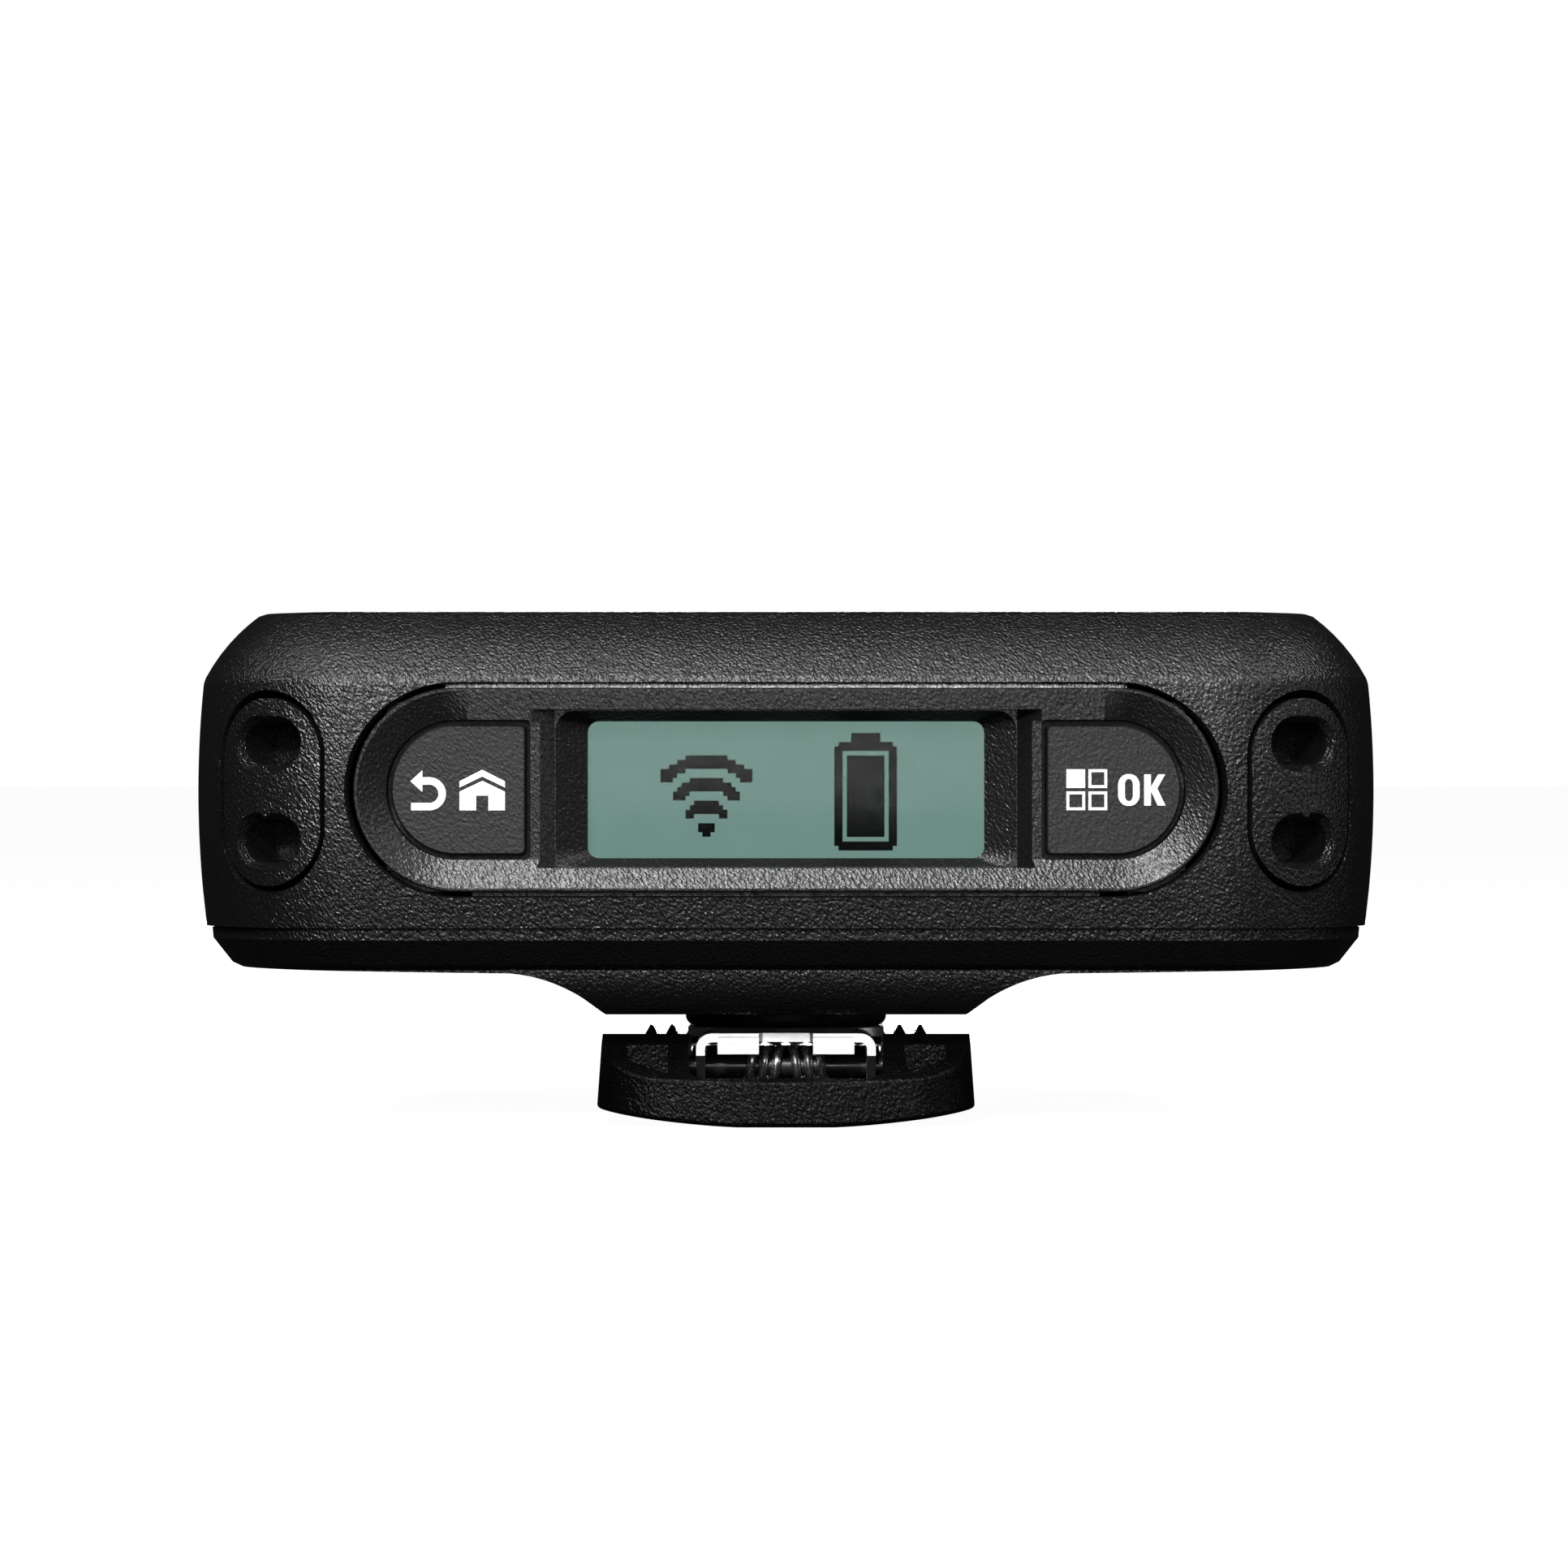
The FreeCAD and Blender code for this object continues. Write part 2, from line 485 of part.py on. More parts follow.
# Lower cover: crowned floor, pedestal, posts, gasket groove and holes.
cover = new_body("cover_form")
edge_sweep(cover, "cover_edge", [
    ("@cover_inset", "@cover_top"),
    ("@rim_width", "@cover_top"),
    ("@rim_width", "@cover_block_low"),
    ("@cover_edge_inset", "@cover_block_low"),
    ("@cover_edge_inset", "@cover_edge_low"),
    ("@cover_chamfer_inset", "@cover_chamfer_low"),
    ("@cover_band_inset", "@cover_band"),
])
slab(cover, "cover_core", "XY_Plane", [body_outline("@rim_width")],
     "@cover_block_low", "@cover_top")
slab(cover, "cover_crown", "XZ_Plane", [[
    ("@crown_half + 2", "@cover_block_low - 1"),
    ("@crown_half + 2", "@crown_side + 0.05"),
    ("@crown_half", "@crown_side", "@crown_radius", -1),
    ("0 - @crown_half", "@crown_side"),
    ("0 - @crown_half - 2", "@crown_side + 0.05"),
    ("0 - @crown_half - 2", "@cover_block_low - 1"),
]], "0 - @body_depth", "@body_depth", cut=True)
pedestal = new_body("pedestal_form")
slab(pedestal, "pedestal_flare", "XZ_Plane", [[
    ("@pedestal_half - @pedestal_edge", "@pedestal_low"),
    ("@pedestal_half", "@pedestal_low + @pedestal_edge * 0.6"),
    ("@flare_end", "@flare_end_height", "@flare_radius", -1),
    ("@flare_start", "@flare_top"),
    ("@flare_start", "@cover_floor_top - 0.6"),
    ("0 - @flare_start", "@cover_floor_top - 0.6"),
    ("0 - @flare_start", "@flare_top", "@flare_radius", -1),
    ("0 - @flare_end", "@flare_end_height"),
    ("0 - @pedestal_half", "@pedestal_low + @pedestal_edge * 0.6"),
    ("@pedestal_edge - @pedestal_half", "@pedestal_low"),
]], "@pedestal_front", "@pedestal_rear")
slab(pedestal, "pedestal_toe_cut", "YZ_Plane", [[
    ("@pedestal_front - 1", "@crown_middle + 0.2"),
    ("@pedestal_front - 1", "@pedestal_low - 1"),
    ("@pedestal_toe + 0.15", "@pedestal_low - 1"),
    ("@pedestal_toe + 0.15", "@pedestal_low"),
    ("@pedestal_toe", "@pedestal_low + 0.12", "3.4", -1),
    ("@pedestal_front", "@crown_middle + 0.2"),
]], "0 - @body_width / 2", "@body_width / 2", cut=True)
slab(pedestal, "pedestal_heel_cut", "YZ_Plane", [[
    ("@pedestal_rear + 1", "@crown_middle + 0.2"),
    ("@pedestal_rear", "@crown_middle + 0.2"),
    ("@pedestal_heel", "@pedestal_low"),
    ("@pedestal_heel", "@pedestal_low - 1"),
    ("@pedestal_rear + 1", "@pedestal_low - 1"),
]], "0 - @body_width / 2", "@body_width / 2", cut=True)
cover_solid = fuse("cover_solid", [cover, pedestal])
cavity = new_body("cover_cavity")
slab(cavity, "cover_hollow", "XY_Plane", [body_outline("@cover_wall_inset")],
     "@cover_floor_top", "@cover_top + 1")
slab(cavity, "pedestal_hollow", "XY_Plane",
     [rounded("0 - @pedestal_hollow_half", "@pedestal_hollow_half", "@pedestal_hollow_front",
              "@pedestal_hollow_rear", "1.5")], "@pedestal_floor_top", "@cover_floor_top + 0.5")
cover_shell = cut("cover_shell", cover_solid, cavity)
posts = new_body("cover_posts")
slab(posts, "hub_tower", "XY_Plane", [("0", "@hub_y", "@tower_radius")],
     "@pedestal_floor_top - 0.5", "@tower_top")
slab(posts, "screw_seats", "XY_Plane", [(x, y, "@boss_radius + 0.5") for x, y in screw_places],
     "@cover_floor_top - 0.4", "@cover_top")
slab(posts, "board_posts", "XY_Plane",
     [(f"{side} * @post_x", y, "@post_radius") for side in (-1, 1)
      for y in ("@post_front_y", "@post_rear_y")], "@cover_floor_top - 0.4", "@board_low")
cover_posts = fuse("cover_with_posts", [cover_shell, posts])
holes = new_body("cover_holes")
slab(holes, "spindle_bore", "XY_Plane", [("0", "@hub_y", "@spindle_bore_radius")],
     "@pedestal_low - 1", "@tower_top + 1")
slab(holes, "screw_holes", "XY_Plane", [(x, y, "@screw_shank_radius + 0.1")
                                        for x, y in screw_places],
     "@cover_block_low", "@cover_top + 1")
slab(holes, "screw_recesses", "XY_Plane", [(x, y, "@screw_recess_radius")
                                           for x, y in screw_places],
     "@cover_block_low - 1", "@screw_recess_top")
slab(holes, "gasket_groove", "XY_Plane",
     [body_outline("(@gasket_outer_inset - 0.02)"), body_outline("(@gasket_inner_inset + 0.02)")],
     "@gasket_low", "@cover_top + 1")
node(cut("lower_cover", cover_posts, holes), "lower_cover")

gasket = new_body("housing_gasket")
slab(gasket, "gasket_ring", "XY_Plane",
     [body_outline("@gasket_outer_inset"), body_outline("@gasket_inner_inset")],
     "@gasket_low", "@seam_height")
node(gasket, "housing_gasket")

screws = []
for number, (x, y) in enumerate(screw_places, start=1):
    head_low = "@screw_recess_top - @screw_head_height"
    head = rod(f"screw_head_{number}", "Z", "@screw_head_radius", head_low,
               "@screw_head_height", x, y)
    shank = rod(f"screw_shank_{number}", "Z", "@screw_shank_radius", "@screw_recess_top",
                "@screw_tip - @screw_recess_top", x, y)
    drive = rod(f"screw_drive_{number}", "Z", "@screw_drive_radius", f"{head_low} - 0.5",
                "1.1", x, y)
    screws.append(cut(f"cover_screw_{number}", fuse(f"screw_blank_{number}", [head, shank]), drive))
screw_set = doc.addObject("Part::Compound", "cover_screws")
screw_set.Links = screws
node(screw_set, "cover_screws")

# Front panel: a dished pill with two button holes and a funnel down to the display.
panel = new_body("front_panel")
slab(panel, "panel_plate", "XZ_Plane", [pill("@panel_half", "@panel_radius", "@panel_height")],
     "@panel_front + @rim_rounding", "@panel_back")
loft(panel, "panel_edge", "XZ_Plane",
     pill("@panel_half - @rim_rounding", "@panel_radius - @rim_rounding", "@panel_height"),
     "@panel_front", pill("@panel_half", "@panel_radius", "@panel_height"),
     "@panel_front + @rim_rounding")
slab(panel, "panel_tab", "XZ_Plane",
     [rectangle("0 - @panel_tab_half", "@panel_tab_half",
                "@panel_height - @panel_radius - @panel_tab_drop", "@panel_height")],
     "@panel_tab_front", "@panel_back")
loft(panel, "panel_dish", "XZ_Plane",
     pill("@panel_half - @dish_rim", "@panel_radius - @dish_rim", "@panel_height"), "@panel_front",
     pill("@dish_half", "@dish_radius", "@panel_height"), "@panel_front + @dish_depth", cut=True)
floor = "@panel_front + @dish_depth"

# The straight stretch above the display stands nearly upright and fades into the dish at its ends.
bridge_section = [("@panel_front", "@panel_height + @panel_radius - @dish_rim"),
                  ("@panel_front + @bridge_slope", "@panel_height + @dish_radius"),
                  (f"{floor} + 0.3", "@panel_height + @dish_radius"),
                  (f"{floor} + 0.3", "@panel_height + @panel_radius - @dish_rim")]
bridge_end_section = [("@bridge_end_front", "@panel_height + @bridge_end_high"),
                      (f"{floor} + 0.01", "@panel_height + @bridge_end_low"),
                      (f"{floor} + 0.3", "@panel_height + @bridge_end_low"),
                      (f"{floor} + 0.3", "@panel_height + @bridge_end_high")]
slab(panel, "bridge", "YZ_Plane", [bridge_section], "0 - @bridge_half", "@bridge_half")
for side_name, side in SIDES:
    loft(panel, f"bridge_end_{side_name}", "YZ_Plane", bridge_section, f"{side} * @bridge_half",
         bridge_end_section, f"{side} * @bridge_end")



def display_rectangle(half, high, low, corner):
    return rounded(f"0 - {half}", half, f"@panel_height - {low}", f"@panel_height + {high}", corner)


well_top, well_bottom = "@panel_height + @well_high", "@panel_height - @well_low"
loft(panel, "island_step_cut", "XZ_Plane",
     rectangle("0 - @island_half", "@island_half", f"{well_bottom} - 0.08", f"{well_top} + 0.08"),
     "@panel_front - 0.05",
     rectangle("0 - @island_foot_half", "@island_foot_half", f"{well_bottom} - 0.05",
               f"{well_top} + 0.05"), f"{floor} + @island_step", cut=True)
loft(panel, "display_well", "XZ_Plane",
     display_rectangle("@well_half", "@well_high", "@well_low", "@well_corner"),
     f"{floor} + @island_step - 0.01",
     display_rectangle("@window_half", "@window_high", "@window_low", "@window_corner"),
     "@well_back", cut=True)
slab(panel, "lens_rebate", "XZ_Plane",
     [rounded("0 - @lens_half - 0.1", "@lens_half + 0.1",
              "@panel_height - @lens_half_height - 0.1",
              "@panel_height + @lens_half_height + 0.1", "@lens_corner")],
     "@well_back", "@panel_back + 1", cut=True)


def button_outline(side, grow):
    """A D with its round end outwards, grown all round by an amount."""
    radius, corner = f"(@button_radius + {grow})", "@button_corner"
    straight = f"(@button_inner - {grow})"
    round_centre = "(@button_outer - @button_radius)"
    low, high = f"@panel_height - {radius}", f"@panel_height + {radius}"
    path = [(round_centre, low, radius, 1), (round_centre, high),
            (f"{straight} + {corner}", high, corner, 1), (straight, f"{high} - {corner}"),
            (straight, f"{low} + {corner}", corner, 1), (f"{straight} + {corner}", low)]
    if side > 0:
        return path
    flipped = [(f"0 - ({point[0]})", point[1]) for point in path]
    arcs = [point[2:] for point in path]
    count = len(path)
    return [flipped[-1 - index] + arcs[(count - 2 - index) % count] for index in range(count)]


for side_name, side in SIDES:
    slab(panel, f"button_hole_{side_name}", "XZ_Plane", [button_outline(side, "@button_gap")],
         "@panel_front - 1", "@panel_back + 1", cut=True)
node(panel, "front_panel")

lens = new_body("display_window")
slab(lens, "lens_plate", "XZ_Plane",
     [rounded("0 - @lens_half", "@lens_half", "@panel_height - @lens_half_height",
              "@panel_height + @lens_half_height", "@lens_corner")], "@well_back", "@lens_back")
node(lens, "display_window")

glass_low, glass_high = "@panel_height - @glass_half_height", "@panel_height + @glass_half_height"
node(block("display_glass", "0 - @glass_half", "@glass_half", "@glass_front", "@glass_back",
           glass_low, glass_high), "display_glass")
node(block("display_backlight", "0 - @glass_half", "@glass_half", "@glass_back",
           "@light_guide_back", glass_low, glass_high), "display_backlight")
frame_outer = block("display_frame_outer", "0 - @display_frame_half", "@display_frame_half",
                    "@glass_front", "@key_board_front",
                    "@panel_height - @display_frame_half_height",
                    "@panel_height + @display_frame_half_height")
frame_inner = block("display_frame_inner", "0 - @glass_half - 0.05", "@glass_half + 0.05",
                    "@glass_front - 1", "@light_guide_back", f"{glass_low} - 0.05",
                    f"{glass_high} + 0.05")
node(cut("display_frame", frame_outer, frame_inner), "display_frame")

# Buttons with a rear lip, and the switches behind them.
for side_name, side in SIDES:
    key = "back" if side < 0 else "ok"
    button = new_body(f"{key}_button")
    slab(button, f"{key}_cap", "XZ_Plane", [button_outline(side, "0")],
         "@button_front + @button_edge", "@lip_back")
    loft(button, f"{key}_cap_edge", "XZ_Plane", button_outline(side, "(0 - @button_edge)"),
         "@button_front", button_outline(side, "0"), "@button_front + @button_edge")
    slab(button, f"{key}_lip", "XZ_Plane", [button_outline(side, "@lip_width")],
         "@lip_front", "@lip_back")
    centre = f"{side} * @button_centre"
    slab(button, f"{key}_stem", "XZ_Plane", [(centre, "@panel_height", "@stem_radius")],
         "@lip_back", "@stem_back")
    node(button, f"{key}_button")
    node(rod(f"{key}_switch_plunger", "Y", "@plunger_radius", "@stem_back",
             "@plunger_back - @stem_back", centre, "@panel_height"), f"{key}_switch_plunger")
    case = block(f"{key}_switch_case", f"{centre} - @switch_half", f"{centre} + @switch_half",
                 "@switch_front", "@key_board_front", "@panel_height - @switch_half",
                 "@panel_height + @switch_half")
    bore = rod(f"{key}_switch_bore", "Y", "@switch_bore_radius", "@switch_front - 1",
               "@switch_bore_back - @switch_front + 1", centre, "@panel_height")
    node(cut(f"{key}_switch", case, bore), f"{key}_switch")
node(block("key_board", "0 - @key_board_half", "@key_board_half", "@key_board_front",
           "@key_board_back", "@key_board_low", "@key_board_high"), "key_board")

# Main board, shielded radio, antenna strip, cell and its pad.
board_top = "@board_low + @board_thickness"
node(block("main_board", "0 - @board_half", "@board_half", "@board_front", "@board_rear",
           "@board_low", board_top), "main_board")
shield_outer = block("shield_outer", "@shield_left", "@shield_right", "@shield_front",
                     "@shield_rear", board_top, f"{board_top} + @shield_height")
shield_inner = block("shield_inner", "@shield_left + @shield_skin", "@shield_right - @shield_skin",
                     "@shield_front + @shield_skin", "@shield_rear - @shield_skin",
                     f"{board_top} - 1", f"{board_top} + @shield_height - @shield_skin")
node(cut("radio_shield", shield_outer, shield_inner), "radio_shield")
wall_inside = "(@body_width / 2 - @wall_thickness)"
node(block("antenna", f"0 - {wall_inside} + 0.02", f"0 - {wall_inside} + @antenna_thickness",
           "@antenna_front", "@antenna_rear", "@antenna_low", "@antenna_high"), "antenna")
cell = new_body("battery_cell")
slab(cell, "cell_case", "YZ_Plane",
     [rounded("@cell_front", "@cell_rear", "@cell_low", "@pad_low", "@cell_edge")],
     "0 - @cell_half_width", "@cell_half_width")
node(cell, "battery_cell")
node(block("battery_pad", "4 - @cell_half_width", "@cell_half_width - 4", "@cell_front + 4",
           "@cell_rear - 4", "@pad_low", "@housing_top - @lid_thickness"), "battery_pad")

# Charging socket and sync socket in the rear wall.
usb = new_body("usb_port")
usb_left, usb_right = "@usb_x - @usb_half_width", "@usb_x + @usb_half_width"
usb_high = f"{usb_low} + @usb_height"
slab(usb, "usb_case", "XZ_Plane", [rounded(usb_left, usb_right, usb_low, usb_high, "1.4")],
     "@usb_front", "@usb_rear")
slab(usb, "usb_mouth", "XZ_Plane",
     [rounded(f"{usb_left} + @usb_skin", f"{usb_right} - @usb_skin", f"{usb_low} + @usb_skin",
              f"{usb_high} - @usb_skin", "1.05")], "@usb_floor", "@usb_rear + 1", cut=True)
usb_middle = f"{usb_low} + @usb_height / 2"
slab(usb, "usb_tongue", "XZ_Plane",
     [rectangle("@usb_x - @usb_tongue_half", "@usb_x + @usb_tongue_half",
                f"{usb_middle} - @usb_tongue_thickness / 2",
                f"{usb_middle} + @usb_tongue_thickness / 2")],
     "@usb_floor - 0.2", "@usb_tongue_rear")
node(usb, "usb_port")

jack = new_body("sync_jack")
slab(jack, "jack_case", "XZ_Plane",
     [rectangle("@jack_x - @jack_flange_half", "@jack_x + @jack_flange_half",
                "@jack_height - @jack_flange_half", "@jack_height + @jack_flange_half")],
     "@jack_body_front", "@jack_flange_rear")
slab(jack, "jack_collar", "XZ_Plane", [("@jack_x", "@jack_height", "@jack_collar_radius")],
     "@jack_flange_rear", "@jack_rear")
slab(jack, "jack_bore", "XZ_Plane", [("@jack_x", "@jack_height", "@jack_bore_radius")],
     "@jack_rear - @jack_bore_length", "@jack_rear + 1", cut=True)
node(jack, "sync_jack")

# Swivel: hub with a spindle through the cover, held by a washer and a screw.
hub = new_body("clip_hub")
profile = new_sketch(hub, "hub_profile", "XZ_Plane")
draw(profile, [[
    ("0", "@plate_top"),
    ("@hub_radius - @hub_edge", "@plate_top", "@hub_edge", 1),
    ("@hub_radius", "@plate_top + @hub_edge"),
    ("@hub_radius", "@hub_top"),
    ("@spindle_radius", "@hub_top"),
    ("@spindle_radius", "@spindle_top"),
    ("0", "@spindle_top"),
]])
profile.setExpression("AttachmentOffset.Base.z", dims("0 - @hub_y"))
turned = hub.newObject("PartDesign::Revolution", "hub_turning")
turned.Profile = profile
turned.ReferenceAxis = (profile, ["V_Axis"])
turned.Angle = 360
slab(hub, "hub_thread", "XY_Plane", [("0", "@hub_y", "@swivel_screw_radius")],
     "@swivel_screw_tip", "@spindle_top + 1", cut=True)
slab(hub, "hub_rivet_holes", "XY_Plane",
     [(f"{side} * @rivet_x", "@rivet_y", "@rivet_radius") for side in (-1, 1)],
     "@plate_top - 1", "@rivet_top", cut=True)
node(hub, "clip_hub")
washer_disc = rod("washer_disc", "Z", "@washer_radius", "@spindle_top", "@washer_thickness",
                  "0", "@hub_y")
washer_hole = rod("washer_hole", "Z", "@swivel_screw_radius", "@spindle_top - 1",
                  "@washer_thickness + 2", "0", "@hub_y")
node(cut("swivel_washer", washer_disc, washer_hole), "swivel_washer")
washer_top = "@spindle_top + @washer_thickness"
swivel_head = rod("swivel_head", "Z", "@swivel_head_radius", washer_top,
                  "@swivel_head_height", "0", "@hub_y")
swivel_shank = rod("swivel_shank", "Z", "@swivel_screw_radius", "@swivel_screw_tip",
                   f"{washer_top} - @swivel_screw_tip", "0", "@hub_y")
node(fuse("swivel_screw", [swivel_head, swivel_shank]), "swivel_screw")

# Bracket: bent sheet steel with two ears for the axle and two front flanges.
bracket = new_body("clip_bracket")
plate_low = "@plate_top - @sheet_thickness"
inner_bend = "(@bend_radius - @sheet_thickness)"
ear_low = "@axle_z - @ear_end_radius"
slab(bracket, "bracket_channel", "XZ_Plane", [[
    ("@bracket_half", ear_low), ("@bracket_half", "@plate_top - @bend_radius", "@bend_radius", 1),
    ("@bracket_half - @bend_radius", "@plate_top"),
    ("@bend_radius - @bracket_half", "@plate_top", "@bend_radius", 1),
    ("0 - @bracket_half", "@plate_top - @bend_radius"), ("0 - @bracket_half", ear_low),
    ("@sheet_thickness - @bracket_half", ear_low),
    ("@sheet_thickness - @bracket_half", "@plate_top - @bend_radius", inner_bend, -1),
    ("@bend_radius - @bracket_half", plate_low),
    ("@bracket_half - @bend_radius", plate_low, inner_bend, -1),
    ("@bracket_half - @sheet_thickness", "@plate_top - @bend_radius"),
    ("@bracket_half - @sheet_thickness", ear_low),
]], "@bracket_front + 0.1", "@ear_rear")
ear_top = "@plate_top - @bend_radius"
slab(bracket, "ear_front_trim", "YZ_Plane", [[
    ("@bracket_front - 1", f"{ear_low} - 1"), ("@axle_y", f"{ear_low} - 1"), ("@axle_y", ear_low),
    ("@axle_y - 0.4", ear_low), ("@bracket_front + 0.1", "@axle_z + 0.75"),
    ("@bracket_front - 1", "@axle_z + 0.75"),
]], "0 - @bracket_half - 1", "@bracket_half + 1", cut=True)
slab(bracket, "ear_rear_trim", "YZ_Plane", [[
    ("@axle_y + 0.4", ear_low), ("@axle_y + 0.4", f"{ear_low} - 1"),
    ("@ear_rear + 1", f"{ear_low} - 1"), ("@ear_rear + 1", "@axle_z + 0.9"),
    ("@ear_rear", "@axle_z + 0.9"),
]], "0 - @bracket_half - 1", "@bracket_half + 1", cut=True)
slab(bracket, "bracket_neck", "XY_Plane",
     [rectangle("@bend_radius - @bracket_half", "@bracket_half - @bend_radius",
                "@ear_rear - 0.01", "@neck_rear")], plate_low, "@plate_top")
slab(bracket, "bracket_plate", "XY_Plane",
     [rounded("0 - @plate_half", "@plate_half", "@plate_front", "@plate_rear + 1.8",
              "@plate_corner")], plate_low, "@plate_top")
slab(bracket, "bracket_notch", "XY_Plane",
     [rounded("0 - @flange_inner", "@flange_inner", "@bracket_front - 1",
              "@bracket_front + @notch_depth", "@notch_corner")],
     f"{plate_low} - 1", "@plate_top + 1", cut=True)
for side_name, side in SIDES:
    near, far = "@flange_inner", "@flange_outer"
    low_x, high_x = (near, far) if side > 0 else (f"0 - {far}", f"0 - {near}")
    slab(bracket, f"front_flange_{side_name}", "YZ_Plane", [[
        ("@bracket_front", "@flange_low"),
        ("@bracket_front + @sheet_thickness", "@flange_low"),
        ("@bracket_front + @sheet_thickness", plate_low),
        ("@bracket_front + 1.2", plate_low), ("@bracket_front + 1.2", "@plate_top"),
        ("@bracket_front + @flange_bend", "@plate_top", "@flange_bend", 1),
        ("@bracket_front", "@plate_top - @flange_bend"),
    ]], low_x, high_x)
slab(bracket, "ear_holes", "YZ_Plane", [("@axle_y", "@axle_z", "@axle_radius")],
     "0 - @bracket_half - 1", "@bracket_half + 1", cut=True)
slab(bracket, "bracket_rivet_holes", "XY_Plane",
     [(f"{side} * @rivet_x", "@rivet_y", "@rivet_radius") for side in (-1, 1)],
     f"{plate_low} - 1", "@plate_top + 1", cut=True)
node(bracket, "clip_bracket")
rivets = []
for side_name, side in SIDES:
    place = (f"{side} * @rivet_x", "@rivet_y")
    rivet_shank = rod(f"rivet_shank_{side_name}", "Z", "@rivet_radius", plate_low,
                      f"@rivet_top - ({plate_low})", *place)
    rivet_head = rod(f"rivet_head_{side_name}", "Z", "@rivet_head_radius",
                     f"{plate_low} - @rivet_head_height", "@rivet_head_height", *place)
    rivets.append(fuse(f"rivet_{side_name}", [rivet_shank, rivet_head]))
rivet_set = doc.addObject("Part::Compound", "clip_rivets")
rivet_set.Links = rivets
node(rivet_set, "clip_rivets")
node(rod("clip_axle", "X", "@axle_radius", "0 - @axle_half", "2 * @axle_half",
         "@axle_y", "@axle_z"), "clip_axle")

# Torsion springs: a coil round the axle, with one leg back under the plate and one back on the arm.
for side_name, side in SIDES:
    coil = doc.addObject("Part::Helix", f"coil_path_{side_name}")
    coil.setExpression("Radius", "dims.coil_radius")
    coil.setExpression("Pitch", "dims.coil_pitch")
    coil.setExpression("Height", "dims.coil_pitch * dims.coil_turns")
    coil.LocalCoord = "Right-handed" if side > 0 else "Left-handed"
    section = doc.addObject("Part::Circle", f"coil_section_{side_name}")
    section.setExpression("Radius", "dims.wire_radius")
    section.Placement = FreeCAD.Placement(
        FreeCAD.Vector(), FreeCAD.Rotation(FreeCAD.Vector(1, 0, 0), 90))
    section.setExpression("Placement.Base.x", "dims.coil_radius")
    doc.recompute()
    sweep = doc.addObject("Part::Sweep", f"coil_{side_name}")
    sweep.Sections = [section]
    sweep.Spine = (coil, [f"Edge{index + 1}" for index in range(len(coil.Shape.Edges))])
    sweep.Solid = True
    sweep.Frenet = True
    leg_end = "0 - @leg_length" if side > 0 else "0"
    upper_leg = rod(f"upper_leg_{side_name}", "Y", "@wire_radius", leg_end, "@leg_length",
                    "@coil_radius", "0")
    lower_leg = rod(f"lower_leg_{side_name}", "Y", "@wire_radius", leg_end, "@leg_length",
                    "0 - @coil_radius", "@coil_pitch * @coil_turns")
    spring = fuse(f"torsion_spring_{side_name}", [sweep, upper_leg, lower_leg])
    turn = FreeCAD.Rotation(FreeCAD.Vector(1, 0, 1), 180)
    if side < 0:
        turn = FreeCAD.Rotation(UP, 180).multiply(turn)
    spring.Placement = FreeCAD.Placement(FreeCAD.Vector(), turn)
    spring.setExpression("Placement.Base.x", f"{side} * dims.coil_start")
    spring.setExpression("Placement.Base.y", "dims.axle_y")
    spring.setExpression("Placement.Base.z", "dims.axle_z")
    node(spring, f"torsion_spring_{side_name}")

# Clip arm: drafted block with a slanted thumb rest, a recess, pockets and a toothed jaw.
arm = new_body("clip_arm")
plan = new_sketch(arm, "arm_plan", "XY_Plane")
draw(plan, [[
    ("@arm_half_foot", "@arm_corner_front"),
    ("@arm_half_foot", "@arm_rear - @arm_tail_corner", "@arm_tail_corner", 1),
    ("@arm_half_foot - @arm_tail_corner", "@arm_rear"),
    ("@arm_tail_corner - @arm_half_foot", "@arm_rear", "@arm_tail_corner", 1),
    ("0 - @arm_half_foot", "@arm_rear - @arm_tail_corner"),
    ("0 - @arm_half_foot", "@arm_corner_front", "@arm_cheek_radius", 1),
    ("0 - @arm_cheek_x", "@arm_cheek_y", "@arm_nose_radius", 1),
    ("@arm_cheek_x", "@arm_cheek_y", "@arm_cheek_radius", 1),
]])
arm_block = arm.newObject("PartDesign::Pad", "arm_block")
arm_block.Profile = plan
arm_block.setExpression("Length", "dims.arm_block_top")
arm_block.setExpression("TaperAngle", "0 - dims.arm_draft")
arm.Tip = arm_block
slab(arm, "arm_side_shape", "YZ_Plane", [[
    ("@arm_front - 1", "@arm_lip"), ("@arm_front", "@arm_lip"), ("@arm_slope_rear", "@arm_top"),
    ("@arm_shoulder_rear", "@arm_shoulder_top"), ("@arm_jaw_start", "@arm_jaw_top"),
    ("@arm_tail_start", "@arm_jaw_top"), ("@arm_rear + 0.2", "@arm_tail_top"),
    ("@arm_rear + 1", "@arm_tail_top"), ("@arm_rear + 1", "@arm_block_top + 1"),
    ("@arm_front - 1", "@arm_block_top + 1"),
]], "0 - @arm_crown_half - 1", "@arm_crown_half + 1", cut=True)
slab(arm, "arm_crown", "XZ_Plane", [[
    ("@arm_crown_half", "0 - 1"),
    ("@arm_crown_half", "@arm_crown_side", "@arm_crown_radius", -1),
    ("0 - @arm_crown_half", "@arm_crown_side"),
    ("0 - @arm_crown_half", "0 - 1"),
]], "@arm_front - 1", "@arm_rear + 1", cut=True)
